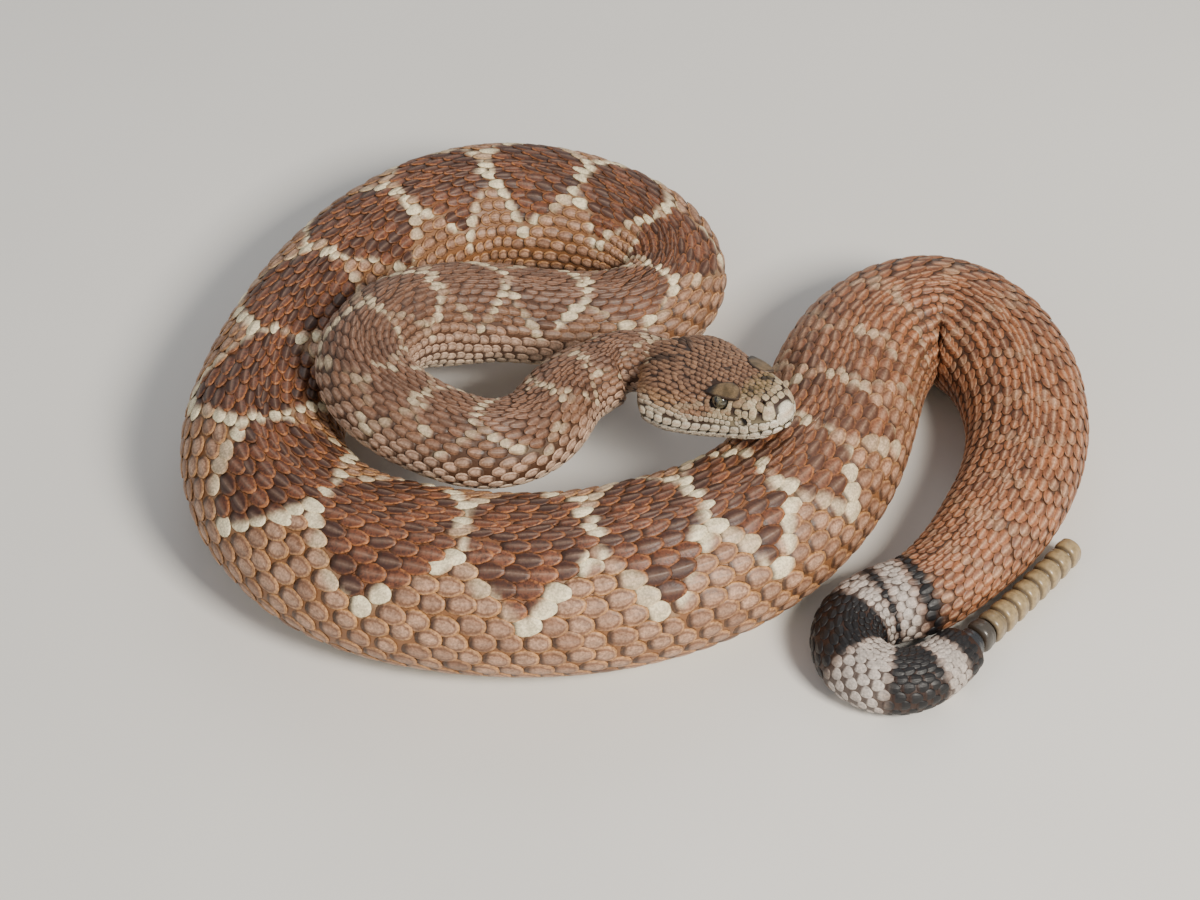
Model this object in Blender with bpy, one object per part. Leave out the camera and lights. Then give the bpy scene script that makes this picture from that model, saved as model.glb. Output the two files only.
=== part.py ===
"""Western diamondback rattlesnake at rest, life size.

The body lies in a loose outer coil on the plane z = 0. Its front third makes a raised
inner coil, an S-bend and the neck, and the head points outward over the outer coil. The
tail curls beside the hind body and ends in the rattle.

Metres, +Z up. The origin is on the floor under the middle of the coil.
"""

import math

import bmesh
import bpy
import numpy as np
from mathutils import Matrix, Vector

# Units and clearances. Sizes below are in millimetres.
MM = 0.001
GAP = 0.3
FLOOR_SNAP = 0.35

# Middle of the coil in the frame that the body line is drawn in.
COIL_CENTRE = (11.1, 1.5)

# Line of the body on the floor plan, from the nape to the end of the tail.
BODY_LINE = (
    # neck and the S-bend behind it
    (15.5, -3.5), (11, -1.5), (5.5, -2), (0, -5.5), (-6.5, -10), (-11.5, -16.5),
    (-15.5, -24.5), (-22.5, -32),
    # inner coil
    (-33, -35.5), (-46, -32), (-57, -25), (-66, -14.5), (-68, -1), (-61.5, 13), (-50, 24),
    (-33, 31.5), (-14.5, 34), (3.5, 37), (17, 45), (22, 58), (16, 72),
    # outer coil, far side
    (2, 81), (-15, 85.5), (-34.5, 86), (-54.5, 77.5), (-73, 59),
    # outer coil, left side
    (-87, 34), (-96, 7), (-98.5, -18), (-91, -40),
    # outer coil, near side
    (-74, -58), (-51, -67.5), (-25, -71), (0, -69), (25.5, -60.5),
    # outer coil, right side and the loop beyond it
    (48.5, -44), (65, -19), (73, 6), (83.5, 27.5), (101, 37), (117, 28), (125.5, 7.5),
    (125, -15),
    # hind body and the curl of the tail
    (116, -37.5), (102.5, -55), (90.5, -65), (80, -69), (72, -75.5), (70.5, -85),
    (76, -92.5), (85.5, -94.5), (95, -89.5), (102.5, -81.5),
)

# Half width of the body at distances along its line.
GIRTH = (
    (0, 9.2), (22, 11.4), (44, 12.7), (102, 13.9), (125, 14.2), (155, 15.8), (182, 14.8),
    (224, 16.0), (256, 18.0),
    (288, 20.2), (355, 21.4), (414, 22.6), (465, 24.6), (515, 26.1), (568, 26.2),
    (622, 24.4), (680, 22.2), (730, 19.8), (775, 17.7), (808, 15.8), (832, 13.2),
    (858, 11.6), (892, 9.9), (912, 8.2), (935, 5.7),
)

# Height of the belly over the floor at distances along the line.
LIFT = (
    (0, 32.5), (14, 30), (27, 28.5), (44, 29), (67, 31.4), (94, 32.4), (108, 32), (122, 30),
    (137, 25.5), (153, 18.0), (172, 13.0), (191, 8.5), (210, 4.4), (230, 1.2), (250, 0),
    (940, 0),
)

# Cross section of the body: an oval with a flat belly. Its corners are drawn in on the
# inner side of a tight bend.
WIDTH_RATIO = 1.03
HEIGHT_RATIO = 0.93
BELLY_FLAT = 0.9
BEND_LIMIT = 0.86
BEND_SOFTNESS = 6.0
CUT_REACH = 0.75
SHARP_ANGLE = math.radians(50)
RING_SIDES = 20
RING_STEP = 6.2
LINE_STEP = 0.5
BEND_SMOOTHING = 9.0

# Lengths that the body is parted into: name, far end along the line and finish.
BODY_LENGTHS = (
    ("neck", 36.0, "dark_scales"),
    ("forebody_bend", 82.0, "dark_scales"),
    ("forebody_coil", 126.0, "dark_scales"),
    ("forebody_turn", 182.0, "dark_scales"),
    ("midbody_inner", 240.0, "rust_scales"),
    ("midbody_back", 316.0, "rust_scales"),
    ("midbody_left", 392.0, "rust_scales"),
    ("midbody_corner", 462.0, "rust_scales"),
    ("midbody_front", 540.0, "rust_scales"),
    ("midbody_right", 618.0, "rust_scales"),
    ("hindbody_rise", 690.0, "rust_scales"),
    ("hindbody_loop", 752.0, "orange_scales"),
    ("hindbody_side", 806.0, "orange_scales"),
    ("hindbody_end", 838.0, "orange_scales"),
    ("tail_root", 882.0, "banded_tail"),
    ("tail_tip", 940.0, "banded_tail"),
)

# Pose of the head: tip of the snout at the line of the mouth, and the way it points.
SNOUT = (52.7, -33.9, 50.1)
HEAD_YAW = math.radians(-39.5)
HEAD_PITCH = math.radians(12.0)
HEAD_ROLL = math.radians(-6.0)
NAPE_BLEND = 16.0
NAPE_HEIGHT = 0.6

# Head profiles at distances back from the snout.
HEAD_LENGTH = 47.5
HEAD_WIDTH = (
    (0, 4.5), (1.5, 6.7), (4, 8.4), (8, 10.1), (12, 11.4), (16, 12.8), (20, 14.5), (26, 17.2),
    (33, 19.3), (37.5, 19.4), (42.5, 16.2), (HEAD_LENGTH, 9.5),
)
CROWN_HEIGHT = (
    (0, 5.0), (1.5, 6.9), (4, 8.3), (8, 9.3), (13, 10.1), (20, 10.8), (33, 11.0), (41, 10.3),
    (HEAD_LENGTH, 9.2),
)
JAW_DEPTH = (
    (0, 2.2), (1.5, 4.0), (4, 5.4), (8, 6.8), (14, 8.0), (24, 9.3), (33, 9.8), (41, 8.8),
    (HEAD_LENGTH, 7.1),
)
SECTION_POWER = ((0, 0.52), (8, 0.46), (16, 0.55), (26, 0.7), (HEAD_LENGTH, 0.95))
JAW_POWER = ((0, 0.6), (8, 0.75), (26, 0.8), (HEAD_LENGTH, 0.95))
SECTION_TAPER = 0.13
HEAD_RINGS = (0, 0.7, 2.2, 4.4, 7, 10, 13, 16, 19.5, 24, 28.5, 33, 37.5, 41.5, 44.5, HEAD_LENGTH)
CROWN_SIDES = 6
JAW_SIDES = 5
LIP_OVERHANG = 1.3
LIP_FADE = 14.0
MOUTH_LENGTH = 40.0
MOUTH_RISE = (
    (-4, -0.2), (0, -0.2), (4, -1.4), (9, -2.8), (20, -3.4), (31, -2.2), (MOUTH_LENGTH + 1, -0.4),
)
MOUTH_STEPS = 12
MOUTH_AHEAD = 3.0
CUTTER_REACH = 40.0

# Eyes, brow plates, nostrils and heat pits: place (back, out, up) and half sizes.
EYE_PLACE = (16.0, 8.9, 6.3)
EYE_RADIUS = 2.6
BROW_PLACE = (15.6, 7.6, 9.6)
BROW_SIZE = (5.3, 3.1, 1.1)
BROW_SPLAY = math.radians(14.0)
BROW_TILT = math.radians(6.0)
NOSTRIL_PLACE = (4.0, 6.9, 6.2)
NOSTRIL_SIZE = (0.75, 1.5, 1.3)
PIT_PLACE = (8.4, 10.1, 1.8)
PIT_SIZE = (1.25, 1.7, 1.1)
EYE_SIDES = 16
BROW_SIDES = 14
OPENING_SIDES = 10

# Rattle: base segment and the string behind it.
RATTLE_HEADING = math.radians(44.5)
RATTLE_START_OFFSET = 0.6
RATTLE_CURVE = math.radians(0.13)
RATTLE_PITCH = 5.15
RATTLE_SEGMENTS = 9
RATTLE_HALF_WIDTH = (4.9, 4.3)
RATTLE_HALF_HEIGHT = (5.2, 4.6)
RATTLE_SIDES = 14
RATTLE_LOBE = ((0.0, 0.74), (0.16, 0.97), (0.45, 1.0), (0.78, 0.9), (0.94, 0.74))
RATTLE_GROOVE = 0.105
RATTLE_GROOVE_POWER = 6
RATTLE_REST = 0.99

# Colour, roughness and metallic value of each material.
FINISHES = {
    "rust_scales": ((0.36, 0.15, 0.075), 0.55, 0.0),
    "dark_scales": ((0.27, 0.13, 0.075), 0.55, 0.0),
    "orange_scales": ((0.42, 0.17, 0.07), 0.55, 0.0),
    "head_scales": ((0.30, 0.20, 0.12), 0.5, 0.0),
    "pale_jaw": ((0.52, 0.42, 0.30), 0.5, 0.0),
    "eye_amber": ((0.16, 0.13, 0.06), 0.12, 0.0),
    "banded_tail": ((0.50, 0.46, 0.42), 0.55, 0.0),
    "rattle_black": ((0.03, 0.035, 0.045), 0.25, 0.0),
    "rattle_horn": ((0.40, 0.29, 0.14), 0.35, 0.0),
}


def clear_scene():
    """Remove every object that the scene holds."""
    for item in list(bpy.data.objects):
        bpy.data.objects.remove(item, do_unlink=True)


def make_materials():
    """Return the finishes as Principled materials, by name."""
    made = {}
    for name, (colour, roughness, metallic) in FINISHES.items():
        material = bpy.data.materials.new(name)
        material.use_nodes = True
        shader = material.node_tree.nodes["Principled BSDF"]
        shader.inputs["Base Color"].default_value = (*colour, 1.0)
        shader.inputs["Roughness"].default_value = roughness
        shader.inputs["Metallic"].default_value = metallic
        made[name] = material
    return made


def smooth_profile(stations, at):
    """Interpolate stations by a cubic that never overshoots them."""
    xs = np.array([station[0] for station in stations], float)
    ys = np.array([station[1] for station in stations], float)
    step = np.diff(xs)
    rise = np.diff(ys) / step
    slope = np.zeros(len(xs))
    for i in range(1, len(xs) - 1):
        if rise[i - 1] * rise[i] > 0:
            near = 2 * step[i] + step[i - 1]
            far = step[i] + 2 * step[i - 1]
            slope[i] = (near + far) / (near / rise[i - 1] + far / rise[i])
    slope[0] = rise[0]
    slope[-1] = rise[-1]
    at = np.clip(np.asarray(at, float), xs[0], xs[-1])
    i = np.clip(np.searchsorted(xs, at, side="right") - 1, 0, len(step) - 1)
    t = (at - xs[i]) / step[i]
    start = ys[i] * (1 + 2 * t) * (1 - t) ** 2 + ys[i + 1] * t * t * (3 - 2 * t)
    return start + step[i] * (slope[i] * t * (1 - t) ** 2 - slope[i + 1] * t * t * (1 - t))


def natural_spline(points, step):
    """Return points about every step along a natural cubic spline."""
    knots = np.array(points, float)
    chord = np.linalg.norm(np.diff(knots, axis=0), axis=1)
    time = np.concatenate([[0.0], np.cumsum(np.sqrt(chord))])
    span = np.diff(time)
    count = len(knots)
    matrix = np.eye(count)
    right = np.zeros_like(knots)
    for i in range(1, count - 1):
        matrix[i, i - 1] = span[i - 1]
        matrix[i, i] = 2 * (span[i - 1] + span[i])
        matrix[i, i + 1] = span[i]
        after = (knots[i + 1] - knots[i]) / span[i]
        before = (knots[i] - knots[i - 1]) / span[i - 1]
        right[i] = 6 * (after - before)
    bend = np.linalg.solve(matrix, right)
    pieces = []
    for i in range(count - 1):
        samples = max(2, int(math.ceil(chord[i] / step)))
        t = np.linspace(0, 1, samples, endpoint=i == count - 2)[:, None]
        u = 1 - t
        curve = u * knots[i] + t * knots[i + 1]
        curve += span[i] ** 2 / 6 * ((u ** 3 - u) * bend[i] + (t ** 3 - t) * bend[i + 1])
        pieces.append(curve)
    return np.vstack(pieces)


def moving_mean(values, width):
    """Average each value with its neighbours over an odd count of samples."""
    padded = np.pad(values, width // 2, mode="edge")
    return np.convolve(padded, np.ones(width) / width, mode="valid")


def head_matrix():
    """Return the pose of the head's own frame: X forward, Y left, Z up."""
    turn = Matrix.Rotation(HEAD_YAW, 4, "Z") @ Matrix.Rotation(-HEAD_PITCH, 4, "Y")
    turn = turn @ Matrix.Rotation(HEAD_ROLL, 4, "X")
    place = Vector((SNOUT[0] - COIL_CENTRE[0], SNOUT[1] - COIL_CENTRE[1], SNOUT[2])) * MM
    return Matrix.Translation(place) @ turn


class BodyLine:
    """The centre line of the body with its girth, in millimetres."""

    def __init__(self):
        pose = np.array(head_matrix())
        nape = pose @ (-HEAD_LENGTH * MM, 0.0, NAPE_HEIGHT * MM, 1.0) / MM
        plan = natural_spline(BODY_LINE, LINE_STEP) - np.array(COIL_CENTRE)
        run = np.concatenate([[0.0], np.cumsum(np.linalg.norm(np.diff(plan, axis=0), axis=1))])
        girth = smooth_profile(GIRTH, run)
        lift = smooth_profile(LIFT, run)
        lift = moving_mean(lift, 2 * int(BEND_SMOOTHING / LINE_STEP) + 1)
        height = lift + BELLY_FLAT * HEIGHT_RATIO * girth
        self.points = np.column_stack([plan, height])
        share = np.maximum(0.0, 1.0 - run / NAPE_BLEND)[:, None]
        share = share * share * (3 - 2 * share)
        back = -pose[:3, 0]
        self.points += share * (nape[:3] + GAP * back - self.points[0])
        steps = np.linalg.norm(np.diff(self.points, axis=0), axis=1)
        self.along = np.concatenate([[0.0], np.cumsum(steps)])
        self.girth = girth
        self.length = float(self.along[-1])
        tangent = np.gradient(self.points, self.along, axis=0)
        tangent = share * back + (1 - share) * tangent
        self.tangent = tangent / np.linalg.norm(tangent, axis=1)[:, None]
        self.bend = self.signed_bend()

    def signed_bend(self):
        """Return the bend to the left per millimetre, smoothed along the line."""
        heading = np.unwrap(np.arctan2(self.tangent[:, 1], self.tangent[:, 0]))
        bend = np.gradient(heading, self.along)
        return moving_mean(bend, 2 * int(BEND_SMOOTHING / LINE_STEP / 2) + 1)

    def value(self, values, at):
        """Interpolate values of the line at a distance along it."""
        return np.interp(at, self.along, values)

    def frame(self, at):
        """Return the centre, the tangent, the left side and the up direction."""
        centre = np.array([self.value(self.points[:, k], at) for k in range(3)])
        tangent = np.array([self.value(self.tangent[:, k], at) for k in range(3)])
        tangent /= np.linalg.norm(tangent)
        left = np.cross((0.0, 0.0, 1.0), tangent)
        left /= np.linalg.norm(left)
        return centre, tangent, left, np.cross(tangent, left)

    def cut_gap(self, at):
        """Return the step along the line that leaves the gap open on the inner side."""
        reach = abs(self.value(self.bend, at)) * WIDTH_RATIO * self.value(self.girth, at)
        return GAP / (1 - min(reach, CUT_REACH))

    def ring(self, at):
        """Return the corners of the cross section at a distance along the line."""
        centre, _, left, up = self.frame(at)
        girth = self.value(self.girth, at)
        bend = self.value(self.bend, at)
        corners = []
        for k in range(RING_SIDES):
            angle = 2 * math.pi * (k + 0.5) / RING_SIDES
            out = WIDTH_RATIO * girth * math.sin(angle)
            rise = HEIGHT_RATIO * girth * max(math.cos(angle), -BELLY_FLAT)
            out = squeeze(out, bend)
            point = centre + out * left + rise * up
            point[2] = 0.0 if point[2] < FLOOR_SNAP else point[2]
            corners.append(point)
        return corners


def squeeze(out, bend):
    """Draw a corner in on the inner side of a tight bend."""
    if out * bend <= 0:
        return out
    limit = BEND_LIMIT / abs(bend)
    return out / (1 + (abs(out) / limit) ** BEND_SOFTNESS) ** (1 / BEND_SOFTNESS)


def closed_loft(name, rings, material, parent=None):
    """Skin rings of corners into one closed, outward-facing mesh object."""
    shell = bmesh.new()
    rows = [[shell.verts.new(Vector(corner) * MM) for corner in ring] for ring in rings]
    for near, far in zip(rows, rows[1:]):
        for k in range(len(near)):
            after = (k + 1) % len(near)
            shell.faces.new((near[k], near[after], far[after], far[k]))
    shell.faces.new(list(reversed(rows[0])))
    shell.faces.new(rows[-1])
    bmesh.ops.recalc_face_normals(shell, faces=shell.faces)
    return add_object(name, shell, material, parent)


def add_object(name, shell, material, parent=None):
    """Turn a bmesh into a smooth-shaded object of the scene."""
    mesh = bpy.data.meshes.new(name)
    shell.to_mesh(mesh)
    shell.free()
    item = bpy.data.objects.new(name, mesh)
    bpy.context.collection.objects.link(item)
    item.parent = parent
    if material is not None:
        mesh.materials.append(material)
    mesh.shade_smooth()
    mesh.set_sharp_from_angle(angle=SHARP_ANGLE)
    return item


def ellipsoid(name, place, size, parent, segments, turn=0.0, tilt=0.0, material=None):
    """Add an ellipsoid of the half sizes at a place, turned about Z and tilted about X."""
    shell = bmesh.new()
    bmesh.ops.create_uvsphere(shell, u_segments=segments, v_segments=segments // 2, radius=1.0)
    scale = Matrix.Diagonal((*[value * MM for value in size], 1.0))
    spin = Matrix.Rotation(turn, 4, "Z") @ Matrix.Rotation(tilt, 4, "X")
    move = Matrix.Translation(Vector(place) * MM)
    bmesh.ops.transform(shell, matrix=move @ spin @ scale, verts=shell.verts)
    return add_object(name, shell, material, parent)


def boolean(target, tool, operation):
    """Apply a Boolean of a tool on a target and remove the tool."""
    modifier = target.modifiers.new(operation.lower(), "BOOLEAN")
    modifier.operation = operation
    modifier.solver = "EXACT"
    modifier.object = tool
    bpy.context.view_layer.update()
    graph = bpy.context.evaluated_depsgraph_get()
    result = bpy.data.meshes.new_from_object(target.evaluated_get(graph))
    target.modifiers.clear()
    old = target.data
    target.data = result
    bpy.data.meshes.remove(old)
    bpy.data.objects.remove(tool, do_unlink=True)


def keep_largest(target):
    """Keep only the largest connected surface of an object."""
    shell = bmesh.new()
    shell.from_mesh(target.data)
    left = set(shell.verts)
    groups = []
    while left:
        group = set()
        front = [next(iter(left))]
        while front:
            vertex = front.pop()
            if vertex in group:
                continue
            group.add(vertex)
            front.extend(edge.other_vert(vertex) for edge in vertex.link_edges)
        groups.append(group)
        left -= group
    largest = max(groups, key=len)
    scraps = [vertex for vertex in shell.verts if vertex not in largest]
    bmesh.ops.delete(shell, geom=scraps, context="VERTS")
    bmesh.ops.triangulate(shell, faces=shell.faces)
    shell.to_mesh(target.data)
    shell.free()
    target.data.shade_smooth()
    target.data.set_sharp_from_angle(angle=SHARP_ANGLE)


def ring_places(start, end):
    """Return evenly spaced distances from start to end along the body."""
    count = max(2, round((end - start) / RING_STEP) + 1)
    return np.linspace(start, end, count)


def build_body(line, materials):
    """Build the lengths of the body, each a gap short of the one before it."""
    start = 0.0
    for name, far_end, finish in BODY_LENGTHS:
        end = min(far_end, line.length)
        rings = [line.ring(at) for at in ring_places(start, end)]
        closed_loft(name, rings, materials[finish])
        start = end + line.cut_gap(end)


def mouth_height(back):
    """Return the height of the line of the mouth at a distance from the snout."""
    return float(smooth_profile(MOUTH_RISE, back))


def head_ring(back):
    """Return one closed section of the head with both jaws, in the head's frame."""
    width = float(smooth_profile(HEAD_WIDTH, back))
    crown = float(smooth_profile(CROWN_HEIGHT, back))
    jaw = float(smooth_profile(JAW_DEPTH, back))
    power = float(smooth_profile(SECTION_POWER, back))
    jaw_power = float(smooth_profile(JAW_POWER, back))
    mouth = mouth_height(back)
    half = []
    for k in range(CROWN_SIDES + 1):
        angle = math.pi / 2 * (1 - k / CROWN_SIDES)
        rise = (crown - mouth) * math.sin(angle) ** power
        out = width * math.cos(angle) ** power if k else 0.0
        half.append((out * (1 - SECTION_TAPER * rise / crown), mouth + rise))
    fade = min(1.0, max(0.0, (MOUTH_LENGTH - back) / LIP_FADE))
    lower = width - LIP_OVERHANG * fade
    for k in range(1, JAW_SIDES + 1):
        angle = math.pi / 2 * k / JAW_SIDES
        drop = (jaw + mouth) * math.sin(angle) ** jaw_power
        out = lower * math.cos(angle) ** jaw_power if k < JAW_SIDES else 0.0
        half.append((out, mouth - drop))
    left = [(-back, out, rise) for out, rise in half]
    right = [(-back, -out, rise) for out, rise in half[-2:0:-1]]
    return left + right


def mouth_cutter(name, parent, shift):
    """Return the volume under the line of the mouth, moved up or down by shift."""
    ends = (-MOUTH_AHEAD, MOUTH_LENGTH + shift)
    backs = np.linspace(ends[0], ends[1], MOUTH_STEPS)
    upper = [(-back, mouth_height(back) + shift) for back in backs]
    outline = upper + [(-ends[1], -CUTTER_REACH), (-ends[0], -CUTTER_REACH)]
    shell = bmesh.new()
    corners = [shell.verts.new(Vector((x, -CUTTER_REACH, z)) * MM) for x, z in outline]
    face = shell.faces.new(corners)
    pushed = bmesh.ops.extrude_face_region(shell, geom=[face])
    moved = [item for item in pushed["geom"] if isinstance(item, bmesh.types.BMVert)]
    bmesh.ops.translate(shell, vec=Vector((0.0, 2 * CUTTER_REACH, 0.0)) * MM, verts=moved)
    bmesh.ops.recalc_face_normals(shell, faces=shell.faces)
    cutter = add_object(name, shell, None, parent)
    cutter.hide_render = True
    cutter.display_type = "WIRE"
    return cutter


def sided(place, side):
    """Return a place (back, out, up) of the head on the left (1) or right (-1)."""
    return (-place[0], side * place[1], place[2])


def build_head(materials):
    """Build the head, the lower jaw and the eyes on the head's own frame."""
    pose = bpy.data.objects.new("head_pose", None)
    bpy.context.collection.objects.link(pose)
    pose.matrix_world = head_matrix()
    bpy.context.view_layer.update()
    rings = [head_ring(back) for back in HEAD_RINGS]
    head = closed_loft("head", rings, materials["head_scales"], pose)
    jaw = closed_loft("lower_jaw", rings, materials["pale_jaw"], pose)
    boolean(jaw, mouth_cutter("jaw_cutter", pose, -GAP / 2), "INTERSECT")
    for side in (1, -1):
        place = sided(BROW_PLACE, side)
        splay = -side * BROW_SPLAY
        tilt = -side * BROW_TILT
        brow = ellipsoid("brow", place, BROW_SIZE, pose, BROW_SIDES, splay, tilt)
        boolean(head, brow, "UNION")
    boolean(head, mouth_cutter("head_cutter", pose, GAP / 2), "DIFFERENCE")
    for side, suffix in ((1, "left"), (-1, "right")):
        build_face_side(head, materials, pose, side, suffix)
    keep_largest(head)
    keep_largest(jaw)


def build_face_side(head, materials, pose, side, suffix):
    """Sink the socket, nostril and heat pit of one side and add its eye."""
    eye = [EYE_RADIUS] * 3
    socket = [EYE_RADIUS + GAP] * 3
    openings = (
        ("socket", EYE_PLACE, socket, EYE_SIDES),
        ("nostril", NOSTRIL_PLACE, NOSTRIL_SIZE, OPENING_SIDES),
        ("pit", PIT_PLACE, PIT_SIZE, OPENING_SIDES),
    )
    for name, place, size, sides in openings:
        tool = ellipsoid(name, sided(place, side), size, pose, sides)
        boolean(head, tool, "DIFFERENCE")
    place = sided(EYE_PLACE, side)
    ellipsoid(f"eye_{suffix}", place, eye, pose, EYE_SIDES, material=materials["eye_amber"])


def rattle_line(distance, line):
    """Return the centre, left side and heading of the rattle at a distance along it."""
    start = line.points[-1]
    heading = RATTLE_HEADING + RATTLE_CURVE * distance / 2
    x = start[0] + distance * math.cos(heading)
    y = start[1] + distance * math.sin(heading)
    height = RATTLE_HALF_HEIGHT[0] * RATTLE_REST
    turn = RATTLE_HEADING + RATTLE_CURVE * distance
    left = np.array((-math.sin(turn), math.cos(turn), 0.0))
    return np.array((x, y, height)), left


def rattle_ring(distance, size, line):
    """Return one section of the rattle, with a shallow groove along each flat side."""
    centre, left = rattle_line(distance, line)
    whole = (RATTLE_SEGMENTS + 1) * RATTLE_PITCH
    share = distance / whole
    width = size * (RATTLE_HALF_WIDTH[0] + share * (RATTLE_HALF_WIDTH[1] - RATTLE_HALF_WIDTH[0]))
    height = RATTLE_HALF_HEIGHT[0] + share * (RATTLE_HALF_HEIGHT[1] - RATTLE_HALF_HEIGHT[0])
    height *= size
    corners = []
    for k in range(RATTLE_SIDES):
        angle = 2 * math.pi * k / RATTLE_SIDES
        groove = 1 - RATTLE_GROOVE * math.cos(angle) ** RATTLE_GROOVE_POWER
        out = width * groove * math.cos(angle)
        point = centre + out * left + np.array((0.0, 0.0, height * math.sin(angle)))
        corners.append(point)
    return corners


def build_rattle(line, materials):
    """Build the black base segment and the string of horn segments."""
    pieces = (
        ("rattle_base", 0, 1, "rattle_black"),
        ("rattle", 1, RATTLE_SEGMENTS + 1, "rattle_horn"),
    )
    for name, first, last, finish in pieces:
        rings = []
        for segment in range(first, last):
            start = RATTLE_START_OFFSET + segment * RATTLE_PITCH
            if segment == first:
                start += GAP
            for share, size in RATTLE_LOBE:
                rings.append(rattle_ring(start + share * RATTLE_PITCH, size, line))
        closed_loft(name, rings, materials[finish])


def main():
    """Build every node of the snake."""
    clear_scene()
    materials = make_materials()
    line = BodyLine()
    build_body(line, materials)
    build_head(materials)
    build_rattle(line, materials)
    bpy.context.view_layer.update()


main()
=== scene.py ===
"""Looks of the western diamondback rattlesnake: skin, scales, head, eyes and rattle.

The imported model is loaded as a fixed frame. One skin stands for the nodes of flesh, and
scales of solid mesh lie over it in overlapping rows. Sizes are in millimetres and turned
into metres where a mesh is made.
"""

import logging
import math
from dataclasses import dataclass, field
from enum import Enum
from typing import Callable, Optional, Sequence

import bpy
import numpy as np
from mathutils import Matrix, Vector


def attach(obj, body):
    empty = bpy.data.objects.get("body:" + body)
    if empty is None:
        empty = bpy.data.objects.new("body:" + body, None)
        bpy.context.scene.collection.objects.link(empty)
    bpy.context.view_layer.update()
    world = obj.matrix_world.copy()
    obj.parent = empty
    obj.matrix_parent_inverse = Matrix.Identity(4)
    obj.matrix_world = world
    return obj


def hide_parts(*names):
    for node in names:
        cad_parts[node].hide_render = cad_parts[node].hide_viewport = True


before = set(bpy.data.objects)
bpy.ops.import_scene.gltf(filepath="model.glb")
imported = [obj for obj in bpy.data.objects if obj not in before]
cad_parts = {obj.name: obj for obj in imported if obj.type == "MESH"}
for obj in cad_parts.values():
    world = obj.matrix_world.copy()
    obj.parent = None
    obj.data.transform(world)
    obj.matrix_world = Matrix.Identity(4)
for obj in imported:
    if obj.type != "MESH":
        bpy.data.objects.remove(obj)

LOG = logging.getLogger("rattlesnake")
MM = 0.001
GAP = 0.3
SEED = 41
BODY = "root"
SKIN_INSET = 0.5
SKIN_CLEAR = 0.05
SCALE_CLEAR = 0.03
BODY_STEP = 1.8
SKIN_HEAD_STEP = 0.3
COAT_HEAD_STEP = 0.45
Stations = Sequence[tuple[float, float]]
Array = np.ndarray
Laid = tuple[Array, Array, Array, Array]
Triple = tuple[float, float, float]
Item = bpy.types.Object
Socket = bpy.types.NodeSocket

COIL_CENTRE = (11.1, 1.5)
BODY_LINE = (
    (15.5, -3.5), (11, -1.5), (5.5, -2), (0, -5.5), (-6.5, -10), (-11.5, -16.5),
    (-15.5, -24.5), (-22.5, -32),
    (-33, -35.5), (-46, -32), (-57, -25), (-66, -14.5), (-68, -1), (-61.5, 13), (-50, 24),
    (-33, 31.5), (-14.5, 34), (3.5, 37), (17, 45), (22, 58), (16, 72),
    (2, 81), (-15, 85.5), (-34.5, 86), (-54.5, 77.5), (-73, 59),
    (-87, 34), (-96, 7), (-98.5, -18), (-91, -40),
    (-74, -58), (-51, -67.5), (-25, -71), (0, -69), (25.5, -60.5),
    (48.5, -44), (65, -19), (73, 6), (83.5, 27.5), (101, 37), (117, 28), (125.5, 7.5),
    (125, -15),
    (116, -37.5), (102.5, -55), (90.5, -65), (80, -69), (72, -75.5), (70.5, -85),
    (76, -92.5), (85.5, -94.5), (95, -89.5), (102.5, -81.5),
)
GIRTH = (
    (0, 9.2), (22, 11.4), (44, 12.7), (102, 13.9), (125, 14.2), (155, 15.8), (182, 14.8),
    (224, 16.0), (256, 18.0),
    (288, 20.2), (355, 21.4), (414, 22.6), (465, 24.6), (515, 26.1), (568, 26.2),
    (622, 24.4), (680, 22.2), (730, 19.8), (775, 17.7), (808, 15.8), (832, 13.2),
    (858, 11.6), (892, 9.9), (912, 8.2), (935, 5.7),
)
LIFT = (
    (0, 32.5), (14, 30), (27, 28.5), (44, 29), (67, 31.4), (94, 32.4), (108, 32), (122, 30),
    (137, 25.5), (153, 18.0), (172, 13.0), (191, 8.5), (210, 4.4), (230, 1.2), (250, 0),
    (940, 0),
)
HEAD_LENGTH = 47.5
MOUTH_LENGTH = 40.0
SNOUT = (52.7, -33.9, 50.1)
UNWRAP_HEAD = 0.2
UNWRAP_BODY = 0.79
UNWRAP_LENGTH = 930.0
SCALE_PATCH = 0.003
BROW_PATCH = 0.02
HEAD_TURN = tuple(math.radians(angle) for angle in (-39.5, 12.0, -6.0))


def smooth_profile(stations: Stations, at: Array | float) -> Array:
    """Interpolate stations by a cubic that never overshoots them.

    Args:
        stations: Pairs of a distance and a value, in rising order.
        at: Distances to read the value at.

    Returns:
        The value at each distance.
    """
    xs = np.array([station[0] for station in stations], float)
    ys = np.array([station[1] for station in stations], float)
    step = np.diff(xs)
    rise = np.diff(ys) / step
    slope = np.zeros(len(xs))
    for i in range(1, len(xs) - 1):
        if rise[i - 1] * rise[i] > 0:
            near = 2 * step[i] + step[i - 1]
            far = step[i] + 2 * step[i - 1]
            slope[i] = (near + far) / (near / rise[i - 1] + far / rise[i])
    slope[0] = rise[0]
    slope[-1] = rise[-1]
    at = np.clip(np.asarray(at, float), xs[0], xs[-1])
    i = np.clip(np.searchsorted(xs, at, side="right") - 1, 0, len(step) - 1)
    t = (at - xs[i]) / step[i]
    start = ys[i] * (1 + 2 * t) * (1 - t) ** 2 + ys[i + 1] * t * t * (3 - 2 * t)
    return start + step[i] * (slope[i] * t * (1 - t) ** 2 - slope[i + 1] * t * t * (1 - t))


def smoothstep(low: float, high: float, value: Array | float) -> Array:
    """Return 0 below low, 1 above high and a smooth rise between them."""
    t = np.clip((np.asarray(value, float) - low) / (high - low), 0.0, 1.0)
    return t * t * (3 - 2 * t)


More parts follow.
